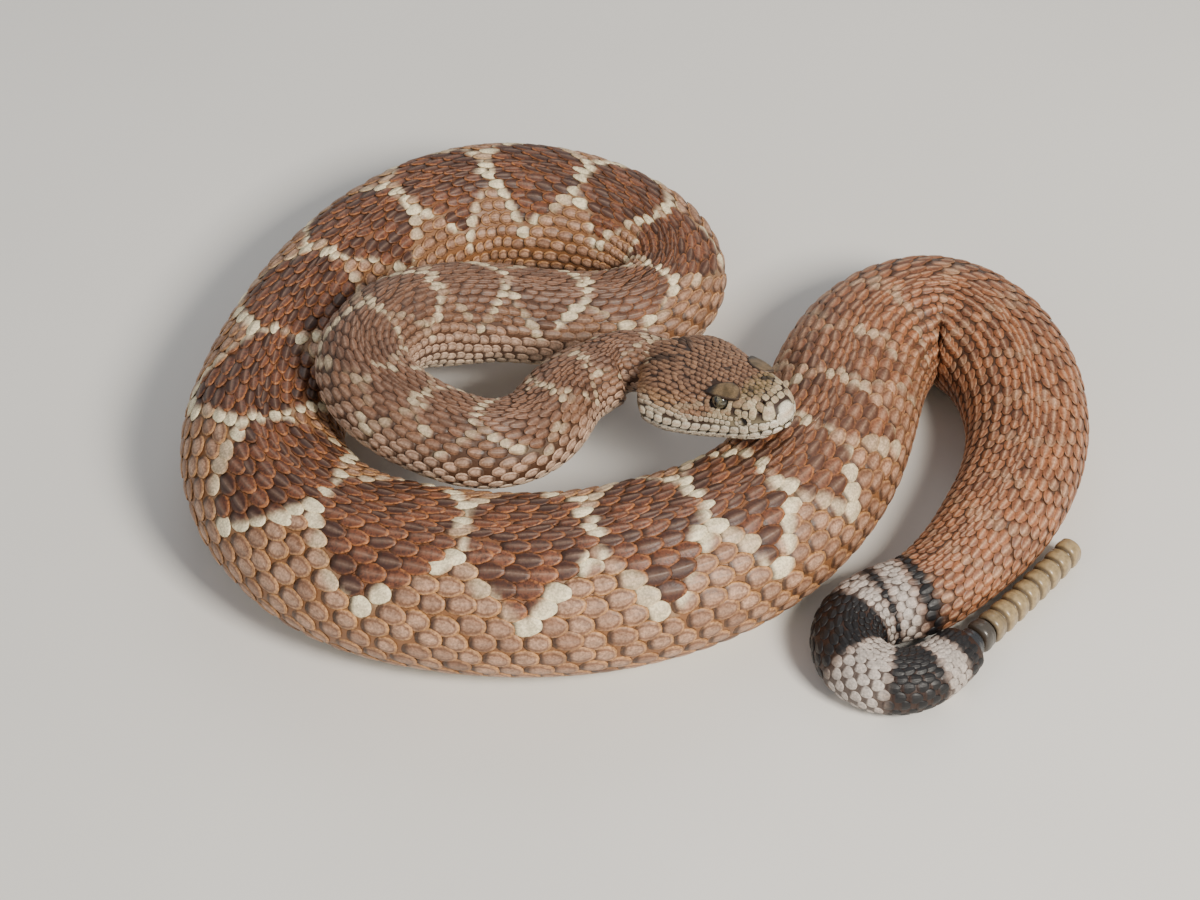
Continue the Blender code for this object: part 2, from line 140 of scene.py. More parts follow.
def natural_spline(points: Sequence[tuple[float, float]], step: float) -> Array:
    """Sample a natural cubic spline through points.

    Args:
        points: The waypoints.
        step: About how far apart the samples lie.

    Returns:
        The samples, one row each.
    """
    knots = np.array(points, float)
    chord = np.linalg.norm(np.diff(knots, axis=0), axis=1)
    time = running(np.sqrt(chord))
    span = np.diff(time)
    count = len(knots)
    matrix = np.eye(count)
    right = np.zeros_like(knots)
    for i in range(1, count - 1):
        matrix[i, i - 1] = span[i - 1]
        matrix[i, i] = 2 * (span[i - 1] + span[i])
        matrix[i, i + 1] = span[i]
        ahead = (knots[i + 1] - knots[i]) / span[i]
        right[i] = 6 * (ahead - (knots[i] - knots[i - 1]) / span[i - 1])
    bend = np.linalg.solve(matrix, right)
    pieces = []
    for i in range(count - 1):
        samples = max(2, int(math.ceil(chord[i] / step)))
        t = np.linspace(0, 1, samples, endpoint=i == count - 2)[:, None]
        u = 1 - t
        curve = u * knots[i] + t * knots[i + 1]
        curve += span[i] ** 2 / 6 * ((u ** 3 - u) * bend[i] + (t ** 3 - t) * bend[i + 1])
        pieces.append(curve)
    return np.vstack(pieces)


def moving_mean(values: Array, width: int) -> Array:
    """Average each value with its neighbours over an odd count of samples."""
    padded = np.pad(values, width // 2, mode="edge")
    return np.convolve(padded, np.ones(width) / width, mode="valid")


def running(steps: Array) -> Array:
    """Add up steps from 0 on."""
    return np.concatenate([[0.0], np.cumsum(steps)])


def step_count(pitch: Stations, fine: Array) -> Array:
    """Count the steps of a changing pitch up to each of a row of close distances."""
    return running(np.diff(fine) / smooth_profile(pitch, fine[1:]))


def staggered(steps: int, rows: int) -> tuple[Array, Array]:
    """Number the steps and rows of a lattice with as many rows on either side of row 0."""
    number, row = np.meshgrid(np.arange(steps), np.arange(-rows, rows + 1), indexing="ij")
    return number.ravel(), row.ravel()


def between(table: Array, row: Array, column: Array) -> Array:
    """Read a grid of numbers or vectors between its rows and columns."""
    r = np.clip(row.astype(int), 0, table.shape[0] - 2)
    c = np.clip(column.astype(int), 0, table.shape[1] - 2)
    fr = row - r
    fc = column - c
    if table.ndim == 3:
        fr = fr[..., None]
        fc = fc[..., None]
    near = table[r, c] * (1 - fc) + table[r, c + 1] * fc
    far = table[r + 1, c] * (1 - fc) + table[r + 1, c + 1] * fc
    return near * (1 - fr) + far * fr


def unit(vectors: Array) -> Array:
    """Scale each vector of the last axis to length one."""
    return vectors / np.maximum(np.linalg.norm(vectors, axis=-1, keepdims=True), 1e-9)


def head_pose() -> Array:
    """Return the head's own frame as a matrix in millimetres: X forward, Y left, Z up."""
    turn = Matrix.Rotation(HEAD_TURN[0], 4, "Z") @ Matrix.Rotation(-HEAD_TURN[1], 4, "Y")
    turn = turn @ Matrix.Rotation(HEAD_TURN[2], 4, "X")
    place = Vector((SNOUT[0] - COIL_CENTRE[0], SNOUT[1] - COIL_CENTRE[1], SNOUT[2]))
    return np.array(Matrix.Translation(place) @ turn)


def in_head_frame(points: Array) -> Array:
    """Turn points of the model into the head's own frame."""
    pose = head_pose()
    return (points - pose[:3, 3]) @ pose[:3, :3]


@dataclass
class BodyLine:
    """The centre line of the body, from the nape to the end of the tail."""

    line_step: float = 0.5
    nape_blend: float = 16.0
    nape_height: float = 0.6
    bend_smoothing: float = 9.0
    belly_flat: float = 0.9
    width_ratio: float = 1.03
    height_ratio: float = 0.93
    bend_limit: float = 0.86
    bend_softness: float = 6.0

    def __post_init__(self) -> None:
        """Lay out the line, its girth and its bend."""
        pose = head_pose()
        nape = pose @ (-HEAD_LENGTH, 0.0, self.nape_height, 1.0)
        plan = natural_spline(BODY_LINE, self.line_step) - np.array(COIL_CENTRE)
        run = running(np.linalg.norm(np.diff(plan, axis=0), axis=1))
        self.girth = smooth_profile(GIRTH, run)
        lift = smooth_profile(LIFT, run)
        lift = moving_mean(lift, 2 * int(self.bend_smoothing / self.line_step) + 1)
        height = lift + self.belly_flat * self.height_ratio * self.girth
        self.points = np.column_stack([plan, height])
        share = np.maximum(0.0, 1.0 - run / self.nape_blend)[:, None]
        share = share * share * (3 - 2 * share)
        back = -pose[:3, 0]
        self.points += share * (nape[:3] + GAP * back - self.points[0])
        steps = np.linalg.norm(np.diff(self.points, axis=0), axis=1)
        self.along = running(steps)
        self.length = float(self.along[-1])
        tangent = np.gradient(self.points, self.along, axis=0)
        self.tangent = unit(share * back + (1 - share) * tangent)
        heading = np.unwrap(np.arctan2(self.tangent[:, 1], self.tangent[:, 0]))
        bend = np.gradient(heading, self.along)
        self.bend = moving_mean(bend, 2 * int(self.bend_smoothing / self.line_step / 2) + 1)

    def read(self, values: Array, at: Array) -> Array:
        """Interpolate numbers or vectors of the line at distances along it."""
        if values.ndim == 1:
            return np.interp(at, self.along, values)
        return np.column_stack([np.interp(at, self.along, column) for column in values.T])

    def sections(self, at: Array, angles: Array, side: int) -> Array:
        """Return the outline of the body at distances along it.

        Args:
            at: Distances along the line; before 0 the line runs on straight.
            angles: Angles from the top of the section to its belly.
            side: 1 for the left half, -1 for the right.

        Returns:
            Points by distance and angle, in millimetres.
        """
        centre = self.read(self.points, at)
        tangent = unit(self.read(self.tangent, at))
        centre += np.minimum(at, 0.0)[:, None] * tangent
        left = unit(np.cross((0.0, 0.0, 1.0), tangent))
        up = np.cross(tangent, left)
        girth = self.read(self.girth, at)[:, None]
        bend = self.read(self.bend, at)[:, None] * side
        out = self.width_ratio * girth * np.sin(angles)[None, :]
        limit = self.bend_limit / np.maximum(np.abs(bend), 1e-6)
        drawn = out / (1 + (out / limit) ** self.bend_softness) ** (1 / self.bend_softness)
        out = np.where(bend > 0, drawn, out) * side
        rise = self.height_ratio * girth * np.maximum(np.cos(angles), -self.belly_flat)[None, :]
        return centre[:, None] + out[..., None] * left[:, None] + rise[..., None] * up[:, None]


@dataclass
class HeadForm:
    """The plain form of the head in its own frame, by distance back from the snout."""

    width: Stations = (
        (0, 4.5), (1.5, 6.7), (4, 8.4), (8, 10.1), (12, 11.4), (16, 12.8), (20, 14.5),
        (26, 17.2), (33, 19.3), (37.5, 19.4), (42.5, 16.2), (HEAD_LENGTH, 9.5),
    )
    crown: Stations = (
        (0, 5.0), (1.5, 6.9), (4, 8.3), (8, 9.3), (13, 10.1), (20, 10.8), (33, 11.0),
        (41, 10.3), (HEAD_LENGTH, 9.2),
    )
    jaw: Stations = (
        (0, 2.2), (1.5, 4.0), (4, 5.4), (8, 6.8), (14, 8.0), (24, 9.3), (33, 9.8), (41, 8.8),
        (HEAD_LENGTH, 7.1),
    )
    power: Stations = ((0, 0.52), (8, 0.46), (16, 0.55), (26, 0.7), (HEAD_LENGTH, 0.95))
    jaw_power: Stations = ((0, 0.6), (8, 0.75), (26, 0.8), (HEAD_LENGTH, 0.95))
    mouth: Stations = (
        (-4, -0.2), (0, -0.2), (4, -1.4), (9, -2.8), (20, -3.4), (31, -2.2),
        (MOUTH_LENGTH + 1, -0.4),
    )
    taper: float = 0.13
    lip_overhang: float = 1.3
    lip_fade: float = 14.0
    snout_bulge: float = 0.9
    eye: Triple = (16.0, 8.9, 6.3)
    eye_radius: float = 2.6
    brow: Triple = (15.6, 7.6, 9.6)
    brow_size: Triple = (5.3, 3.1, 1.1)
    brow_splay: float = math.radians(14.0)
    brow_tilt: float = math.radians(6.0)
    nostril: Triple = (4.0, 6.9, 6.2)
    pit: Triple = (8.4, 10.1, 1.8)

    def sections(self, back: Array, angles: Array, side: int) -> Array:
        """Return the outline of the head at distances from the snout.

        Args:
            back: Distances back from the snout; before 0 the snout rounds off.
            angles: Angles from the crown to the chin; the lip lies at a right angle.
            side: 1 for the left half, -1 for the right.

        Returns:
            Points in the head's frame by distance and angle.
        """
        cap = np.sqrt(np.clip(1 - (np.minimum(back, 0.0) / self.snout_bulge) ** 2, 0, 1))
        cap = cap[:, None]
        width = smooth_profile(self.width, back)[:, None]
        crown = smooth_profile(self.crown, back)[:, None]
        jaw = smooth_profile(self.jaw, back)[:, None]
        mouth = smooth_profile(self.mouth, back)[:, None]
        sine = np.maximum(np.sin(angles), 0.0)[None, :]
        cosine = np.cos(angles)[None, :]
        above = cosine >= 0
        power = smooth_profile(self.power, back)[:, None]
        power = np.where(above, power, smooth_profile(self.jaw_power, back)[:, None])
        rise = np.where(above, crown - mouth, jaw + mouth) * np.abs(cosine) ** power
        fade = np.clip((MOUTH_LENGTH - back) / self.lip_fade, 0, 1)[:, None]
        upper = width * sine ** power * (1 - self.taper * rise / crown)
        lower = (width - self.lip_overhang * fade) * sine ** power
        out = side * np.where(above, upper, lower) * cap
        height = mouth + np.where(above, rise, -rise) * cap
        ahead = np.broadcast_to(-back[:, None], out.shape)
        return np.stack([ahead, out, height], axis=-1)

    def half_width(self, back: Array, height: float) -> Array:
        """Return how far the plain form reaches out at distances back and one height."""
        width = smooth_profile(self.width, back)
        crown = smooth_profile(self.crown, back)
        jaw = smooth_profile(self.jaw, back)
        mouth = smooth_profile(self.mouth, back)
        rise = height - mouth
        above = rise >= 0
        jaw_power = smooth_profile(self.jaw_power, back)
        exponent = 2 / np.where(above, smooth_profile(self.power, back), jaw_power)
        reach = np.where(above, crown, jaw) - np.where(above, 1, -1) * mouth
        share = np.clip(np.abs(rise) / reach, 0, 1) ** exponent
        out = width * (1 - share) ** (1 / exponent)
        fade = np.clip((MOUTH_LENGTH - back) / self.lip_fade, 0, 1)
        upper = out * (1 - self.taper * np.maximum(rise, 0) / crown)
        return np.where(above, upper, out * (1 - self.lip_overhang * fade / width))

    def sculpt(self, points: Array, back: Array) -> Array:
        """Sink the sockets, nostrils and pits, and the line of the mouth.

        Args:
            points: Points of the head's frame, by distance and angle.
            back: Distance back from the snout of each row.

        Returns:
            The moved points.
        """
        x, y, z = (points[..., k] for k in range(3))
        side = np.where(y >= 0, 1.0, -1.0)
        out = np.abs(y)
        for place, radii, floor in (
            (self.eye, (self.eye_radius + 0.5, self.eye_radius + 0.3), 1.6),
            (self.nostril, (0.8, 1.5), 1.5),
            (self.pit, (1.35, 1.2), 1.9),
        ):
            away = ((x + place[0]) / radii[0]) ** 2 + ((z - place[2]) / radii[1]) ** 2
            bowl = np.sqrt(np.clip(1 - away, 0, 1))
            out = out - np.where(out > place[1] - 4, floor * bowl ** 0.6, 0)
        line = smooth_profile(self.mouth, back)[:, None]
        shut = np.clip((MOUTH_LENGTH + 1 - back) / 3, 0, 1)[:, None]
        groove = np.exp(-((z - line + 0.12) / 0.26) ** 2) * shut
        out = np.maximum(out - 0.9 * groove, 0)
        x = x - 0.7 * groove * smoothstep(3.0, 0.0, back)[:, None]
        return np.stack([x, side * out, z], axis=-1)


class Hide:
    """The outer surface of the animal as a grid of points, normals and arc lengths.

    Rows run from the snout (negative distances) over the nape (0) to the end of the
    tail. Columns run from the middle of the belly up one side, over the back (0) and
    down the other; a share of 0.5 is the lip or the widest place.
    """

    COLUMNS = 28
    NAPE = 5.0

    def __init__(self, line: BodyLine, form: HeadForm, head_step: float, body_step: float,
                 inset: float = 0.0, sculpt: Optional[Callable[[Array, Array], Array]] = None):
        """Lay the grid.

        Args:
            line: The centre line of the body.
            form: The form of the head.
            head_step: Distance between the rows of the head.
            body_step: Distance between the rows of the body.
            inset: How far the surface lies inside the solids.
            sculpt: Moves the head's points in the head's frame by their distance back.
        """
        cap = -HEAD_LENGTH - form.snout_bulge * np.sin(np.linspace(math.pi / 2, 0.2, 7))
        head = np.arange(-HEAD_LENGTH, self.NAPE, head_step)
        body = np.linspace(self.NAPE, line.length, int((line.length - self.NAPE) / body_step))
        self.rows = np.concatenate([cap, head, body])
        half = self.half_shares()
        self.shares = np.concatenate([-half[:0:-1], half])
        middle = len(half) - 1
        points = np.zeros((len(self.rows), len(self.shares), 3))
        self.upper = {}
        self.lower = {}
        pose = head_pose()
        for side in (1, -1):
            quarters = []
            for start in (0.0, math.pi / 2):
                angles = start + (1 - np.cos(np.linspace(0, math.pi, 61))) * math.pi / 4
                blend = smoothstep(-self.NAPE, self.NAPE, self.rows)[:, None, None]
                ahead = form.sections(HEAD_LENGTH + self.rows, angles, -side)
                if sculpt is not None:
                    ahead = sculpt(ahead, HEAD_LENGTH + self.rows)
                ahead = ahead @ pose[:3, :3].T + pose[:3, 3]
                behind = line.sections(self.rows, angles, side)
                quarters.append(ahead * (1 - blend) + behind * blend)
            lengths = []
            resampled = []
            wanted = half[half <= 0.5] * 2, half[half >= 0.5] * 2 - 1
            for quarter, share in zip(quarters, wanted):
                step = np.linalg.norm(np.diff(quarter, axis=1), axis=2)
                arc = np.concatenate([np.zeros((len(step), 1)), np.cumsum(step, axis=1)], axis=1)
                lengths.append(np.maximum(arc[:, -1], 1e-3))
                resampled.append(resample(quarter, arc, share))
            self.upper[side], self.lower[side] = lengths
            whole = np.concatenate([resampled[0], resampled[1][:, 1:]], axis=1)
            columns = middle + side * np.arange(len(half))
            points[:, columns] = whole
        self.normals = self.measure_normals(points)
        if inset:
            points = points - self.normals * inset
        self.points = points
        along = np.linalg.norm(np.gradient(points, self.rows, axis=0), axis=2)
        self.stretch = np.clip(along, 0.05, 3.0)

    def half_shares(self) -> Array:
        """Return the shares of the columns of one half, closer near the lip."""
        plain = np.linspace(0, 1, 2 * self.COLUMNS + 1)
        near_lip = 0.5 + np.array((-0.03, -0.014, -0.006, 0.006, 0.014, 0.03))
        keep = plain[(np.abs(plain - 0.5) > 0.035) | (plain == 0.5)]
        return np.sort(np.concatenate([keep, near_lip]))

    @staticmethod
    def measure_normals(points: Array) -> Array:
        """Return outward unit normals of the grid."""
        along = np.gradient(points, axis=0)
        around = np.gradient(points, axis=1)
        around[:, 0] = around[:, -1] = points[:, 1] - points[:, -2]
        return unit(np.cross(along, around))

    def arcs(self, at: Array, side: Array) -> tuple[Array, Array]:
        """Return the arc lengths from the back to the widest place and on to the belly."""
        found = []
        for table in (self.upper, self.lower):
            left = np.interp(at, self.rows, table[1])
            right = np.interp(at, self.rows, table[-1])
            found.append(np.where(side >= 0, left, right))
        return found[0], found[1]

    def share_of(self, at: Array, arc: Array) -> Array:
        """Turn signed arc lengths from the middle of the back into shares."""
        side = np.where(arc >= 0, 1.0, -1.0)
        upper, lower = self.arcs(at, side)
        arc = np.abs(arc)
        share = np.where(arc < upper, 0.5 * arc / upper, 0.5 + 0.5 * (arc - upper) / lower)
        return side * share

    def place(self, at: Array, arc: Array, ahead: Array,
              aside: Array) -> Laid:
        """Step from roots along the hide.

        Args:
            at: Distance of each root.
            arc: Arc length of each root.
            ahead: Steps towards the tail, one row of them for each root.
            aside: Steps to the left.

        Returns:
            Distances, arc lengths, points and normals after the steps.
        """
        stretch = self.sample(at, self.share_of(at, arc), self.stretch)
        at_each = at + ahead / stretch
        arc_each = arc + aside
        share = self.share_of(at_each, arc_each)
        points = self.sample(at_each, share, self.points)
        return at_each, arc_each, points, unit(self.sample(at_each, share, self.normals))

    def patch(self, at: Array, arc: Array) -> Array:
        """Return the places of roots on the unwrap."""
        return unwrap(at, self.share_of(at, arc))

    def sample(self, at: Array, share: Array, table: Array) -> Array:
        """Read a table of the grid between its rows and columns."""
        share = (share + 1) % 2 - 1
        row = np.interp(at, self.rows, np.arange(len(self.rows)))
        column = np.interp(share, self.shares, np.arange(len(self.shares)))
        return between(table, row, column)


def resample(points: Array, arc: Array, shares: Array) -> Array:
    """Return points at shares of each row's arc length."""
    rows = []
    for line, run in zip(points, arc):
        at = shares * run[-1]
        rows.append(np.column_stack([np.interp(at, run, line[:, k]) for k in range(3)]))
    return np.array(rows)


def unwrap(at: Array, share: Array) -> Array:
    """Place a spot of the hide on the flat unwrap that its colours are baked on."""
    reach = HEAD_LENGTH + 1.0
    head = (np.asarray(at) + reach) / reach * UNWRAP_HEAD
    body = UNWRAP_HEAD + np.asarray(at) / UNWRAP_LENGTH * UNWRAP_BODY
    return np.stack([np.where(at < 0, head, body), 0.5 + 0.49 * share], axis=-1)


class FaceMap:
    """One side of the face as a sheet: distance along the lips from the front, and height."""

    LOW = -9.0
    HIGH = 11.0
    REACH = 52
    NOSE = 9.0
    UNWRAP_HEIGHT = 22.0

    def __init__(self, form: HeadForm, side: int, inset: float) -> None:
        """Lay the sheet over the plain form.

        Args:
            form: The form of the head.
            side: 1 for the left side, -1 for the right.
            inset: How far the sheet lies inside the form.
        """
        self.side = side
        self.pose = head_pose()
        self.heights = np.linspace(self.LOW, self.HIGH, 101)
        self.runs = np.linspace(0, self.REACH, 160)
        back = np.linspace(0, HEAD_LENGTH, 300)
        turn = np.linspace(0, math.pi / 2, 30)
        rows = []
        nostrils = []
        for height in self.heights[::-1]:
            out = form.half_width(back, height)
            front = int(np.argmax(out > 0.02))
            bulge = form.snout_bulge if front == 0 else 0.0
            x = np.concatenate([-back[front] + bulge * np.cos(turn), -back[front + 1:]])
            y = np.concatenate([out[front] * np.sin(turn), out[front + 1:]])
            run = running(np.hypot(np.diff(x), np.diff(y)))
            if height >= 0:
                nostrils.append(float(np.interp(form.nostril[0], -x, run)))
            nostril = nostrils[-1]
            marks = (0, nostril, nostril + self.REACH - self.NOSE)
            steps = np.interp(self.runs, (0, self.NOSE, self.REACH), marks)
            rows.append(np.stack([np.interp(steps, run, x), np.interp(steps, run, y),
                                  np.full(len(self.runs), height)], axis=-1))
        grid = np.array(rows[::-1])
        normals = unit(np.cross(np.gradient(grid, axis=1), np.gradient(grid, axis=0)))
        self.grid = grid - inset * normals
        self.normals = normals

    def run_at(self, back: float, height: float) -> float:
        """Return the distance along the lips of a place on the face."""
        row = int(np.argmin(np.abs(self.heights - height)))
        return float(np.interp(back, -self.grid[row, :, 0], self.runs))

    def back_at(self, run: float, height: float) -> float:
        """Return the distance back from the snout of a place on the face."""
        row = int(np.argmin(np.abs(self.heights - height)))
        return float(np.interp(run, self.runs, -self.grid[row, :, 0]))

    def place(self, at: Array, arc: Array, ahead: Array,
              aside: Array) -> Laid:
        """Step from roots over the face: back along the lips and up."""
        run = at + ahead
        height = arc + aside
        row = np.interp(height, self.heights, np.arange(len(self.heights)))
        column = np.interp(np.abs(run), self.runs, np.arange(len(self.runs)))
        place = between(self.grid, row, column)
        normal = between(self.normals, row, column)
        ones = np.ones_like(run)
        mirror = np.stack([ones, self.side * np.where(run < 0, -1.0, 1.0), ones], axis=-1)
        turn = self.pose[:3, :3]
        points = (place * mirror) @ turn.T + self.pose[:3, 3]
        return run, height, points, unit(normal * mirror) @ turn.T

    def patch(self, at: Array, arc: Array) -> Array:
        """Return the places of roots on the unwrap."""
        share = np.clip(0.5 - arc / self.UNWRAP_HEIGHT, 0.02, 0.98)
        return unwrap(np.minimum(at, HEAD_LENGTH) - HEAD_LENGTH, -self.side * share)


@dataclass(frozen=True)
class ScaleForm:
    """The grid that every scale of one kind is bent from: one closed, thin shell."""

    along: int = 8
    across: tuple[float, ...] = (-1.0, -0.84, -0.42, -0.13, 0.0, 0.13, 0.42, 0.84, 1.0)
    narrow_end: float = 0.1
    keel_width: float = 0.16
    under: float = 0.35

    def grid(self) -> tuple[Array, Array, Array]:
        """Return share along, share across and rim mark of every corner."""
        run = (1 - np.cos(np.linspace(0, math.pi, self.along))) / 2
        s, w = np.meshgrid(run, np.array(self.across), indexing="ij")
        rim = np.zeros_like(s)
        rim[0] = rim[-1] = 1.0
        rim[:, 0] = rim[:, -1] = 1.0
        corners = [np.append(s.ravel(), 0.5), np.append(w.ravel(), 0.0)]
        return corners[0], corners[1], np.append(rim.ravel(), 0.0)

    def faces(self) -> list[tuple[int, ...]]:
        """Return the faces: the top as a grid and the underside as a fan."""
        wide = len(self.across)
        last = self.along * wide
        found = []
        for j in range(self.along - 1):
            for k in range(wide - 1):
                a = j * wide + k
                found.append((a, a + wide, a + wide + 1, a + 1))
        loop = list(range(wide))
        loop += [j * wide + wide - 1 for j in range(1, self.along)]
        loop += [(self.along - 1) * wide + k for k in range(wide - 2, -1, -1)]
        loop += [j * wide for j in range(self.along - 2, 0, -1)]
        for here, after in zip(loop, loop[1:] + loop[:1]):
            found.append((here, after, last))
        return found


@dataclass
class ScaleSet:
    """Scales of one kind, one value each: where they root and how they are shaped."""

    form: ScaleForm
    at: Array
    arc: Array
    length: Array
    half_width: Array
    turn: Array = field(default_factory=lambda: np.zeros(1))
    sink: Array = field(default_factory=lambda: np.zeros(1))
    lift: Array = field(default_factory=lambda: np.full(1, 0.5))
    dome: Array = field(default_factory=lambda: np.full(1, 0.15))
    keel: Array = field(default_factory=lambda: np.zeros(1))
    tip: Array = field(default_factory=lambda: np.zeros(1))
    square: Array = field(default_factory=lambda: np.zeros(1))
    thick: Array = field(default_factory=lambda: np.full(1, 0.25))
    shade: Array = field(default_factory=lambda: np.full(1, 0.5))

    def column(self, name: str) -> Array:
        """Return one value per scale as a column, repeating a single one."""
        return np.broadcast_to(np.asarray(getattr(self, name), float), self.at.shape)[:, None]

    def cut(self, keep: Array) -> "ScaleSet":
        """Return the scales that a mask or an index keeps."""
        values = {}
        for name in self.__dataclass_fields__:
            if name == "form":
                continue
            values[name] = np.broadcast_to(getattr(self, name), self.at.shape)[keep]
        return ScaleSet(form=self.form, **values)

    def lay(self, hide: Hide) -> "LaidScales":
        """Bend every scale onto the hide."""
        s, w, rim = self.form.grid()
        middle = 2 * s - 1
        round_half = np.sqrt(np.clip(1 - middle ** 2, 0, 1))
        square = self.column("square")
        half = round_half ** (1.0 - 0.72 * square) + self.form.narrow_end * (1 - round_half)
        half = half * (1 - self.column("tip") * smoothstep(0.45, 1.0, s) * 0.55)
        x = self.column("length") * s
        y = self.column("half_width") * half * w
        turn = self.column("turn")
        ahead = x * np.cos(turn) - y * np.sin(turn)
        aside = x * np.sin(turn) + y * np.cos(turn)
        at = self.column("at")
        arc = self.column("arc")
        at_each, arc_each, place, normal = hide.place(at, arc, ahead, aside)
        ridge = np.exp(-(w / self.form.keel_width) ** 2) * smoothstep(0, 0.35, s)
        ridge = ridge * smoothstep(1.0, 0.8, s)
        swell = (1 - w ** 2) * np.sin(math.pi * np.clip(s, 0, 1) ** 0.8)
        height = self.column("sink") + self.column("lift") * s + self.column("dome") * swell
        height = height + self.column("keel") * ridge - self.column("thick") * rim
        height[:, -1] = -self.form.under
        points = place + normal * height[..., None]
        points[..., 2] = np.maximum(points[..., 2], SCALE_CLEAR)
        edge = (middle ** 2 + w ** 2 * (1 - middle ** 2)) ** 3
        edge = np.broadcast_to(edge, x.shape)
        root = hide.patch(at[:, 0], arc[:, 0])
        patch = root[:, None] + SCALE_PATCH * np.stack([s - 0.5, w / 2], -1)[None]
        return LaidScales(self.form, points, at_each, arc_each, edge,
                          np.broadcast_to(ridge, x.shape), np.broadcast_to(s, x.shape),
                          self.column("shade"), patch)


@dataclass
class LaidScales:
    """Scales bent onto the hide: an array of corners for each value, one row a scale."""

    form: ScaleForm
    points: Array
    at: Array
    arc: Array
    edge: Array
    ridge: Array
    run: Array
    shade: Array
    patch: Array

    def mesh(self, name: str, channels: dict[str, Array], flip: bool = False) -> Item:
        """Join the scales into one object with colour channels and its unwrap."""
        count, corners = self.points.shape[:2]
        faces = self.form.faces()
        if flip:
            faces = [face[::-1] for face in faces]
        totals = np.array([len(face) for face in faces])
        flat = np.concatenate([np.array(face) for face in faces])
        loops = (flat[None] + corners * np.arange(count)[:, None]).ravel()
        return joined_mesh(name, self.points.reshape(-1, 3), loops, np.tile(totals, count),
                           {key: value.reshape(-1, 4) for key, value in channels.items()},
                           self.patch.reshape(-1, 2)[loops])


def joined_mesh(name: str, points: Array, loops: Array, totals: Array,
                channels: dict[str, Array], patch: Array) -> Item:
    """Make one smooth object from arrays.

    Args:
        name: Name of the piece.
        points: Corners in millimetres.
        loops: Corner numbers of all faces, one after the other.
        totals: Number of corners of each face.
        channels: Colour channels by name, four values for each corner.
        patch: Place on the unwrap of each corner of each face.

    Returns:
        The new object, linked to the scene.
    """
    mesh = bpy.data.meshes.new(name)
    mesh.vertices.add(len(points))
    mesh.vertices.foreach_set("co", (points * MM).astype(np.float32).ravel())
    mesh.loops.add(len(loops))
    mesh.loops.foreach_set("vertex_index", loops.astype(np.int32))
    mesh.polygons.add(len(totals))
    starts = np.concatenate([[0], np.cumsum(totals)[:-1]])
    mesh.polygons.foreach_set("loop_start", starts.astype(np.int32))
    mesh.polygons.foreach_set("loop_total", totals.astype(np.int32))
    mesh.update(calc_edges=True)
    for key, value in channels.items():
        layer = mesh.color_attributes.new(name=key, type="FLOAT_COLOR", domain="POINT")
        layer.data.foreach_set("color", np.clip(value, 0, 1).astype(np.float32).ravel())
    layer = mesh.uv_layers.new(name="OFBake")
    layer.data.foreach_set("uv", np.clip(patch, 0, 1).astype(np.float32).ravel())
    mesh.shade_smooth()
    item = bpy.data.objects.new(name, mesh)
    bpy.context.collection.objects.link(item)
    return item


@dataclass(frozen=True)
class Markings:
    """The pattern of the back and flanks, by distance along the body and arc from the back."""

    bands: tuple[float, ...] = (
        -20, 2, 23, 41, 67, 84, 99, 126, 148, 173, 199, 226, 254, 282, 311, 341, 374, 411, 449,
        486, 527, 563, 594, 617, 641, 663, 684, 705, 724, 742, 760, 777, 793, 808, 822, 836,
        850, 960,
    )
    merge: float = 0.09
    band_half: float = 1.7
    reach: float = 0.36
    border: float = 2.7
    contrast: Stations = ((0, 0.5), (40, 0.6), (120, 0.62), (200, 0.85), (300, 1), (590, 1),
                          (650, 0.62), (700, 0.3), (750, 0.14), (860, 0.12))
    tone: Stations = ((-50, 0.1), (180, 0.15), (260, 0.45), (560, 0.5), (660, 0.7), (740, 1),
                      (900, 1))

    def inside(self, at: Array, arc: Array, edge: Array) -> Array:
        """Return the distance inside the border of the nearest blotch, negative outside.

        Args:
            at: Distances along the body.
            arc: Arc lengths from the middle of the back.
            edge: Arc length at which the belly scutes begin.
        """
        bands = np.array(self.bands)
        i = np.clip(np.searchsorted(bands, at) - 1, 0, len(bands) - 2)
        centre = (bands[i] + bands[i + 1]) / 2
        half = (bands[i + 1] - bands[i]) / 2
        x = np.abs(at - centre)
        high = self.reach * edge
        y = np.maximum(np.abs(arc) - self.merge * edge, 0)
        slope = high / half
        to_side = (high * (1 - x / half) - y) / np.sqrt(1 + slope ** 2)
        to_band = half - self.band_half - x
        return np.minimum(to_side, to_band)


class Shade(Enum):
    """How a surface mixes the markings: lit scales or the skin in the gaps between them."""

    SCALE = "scale"
    SKIN = "skin"


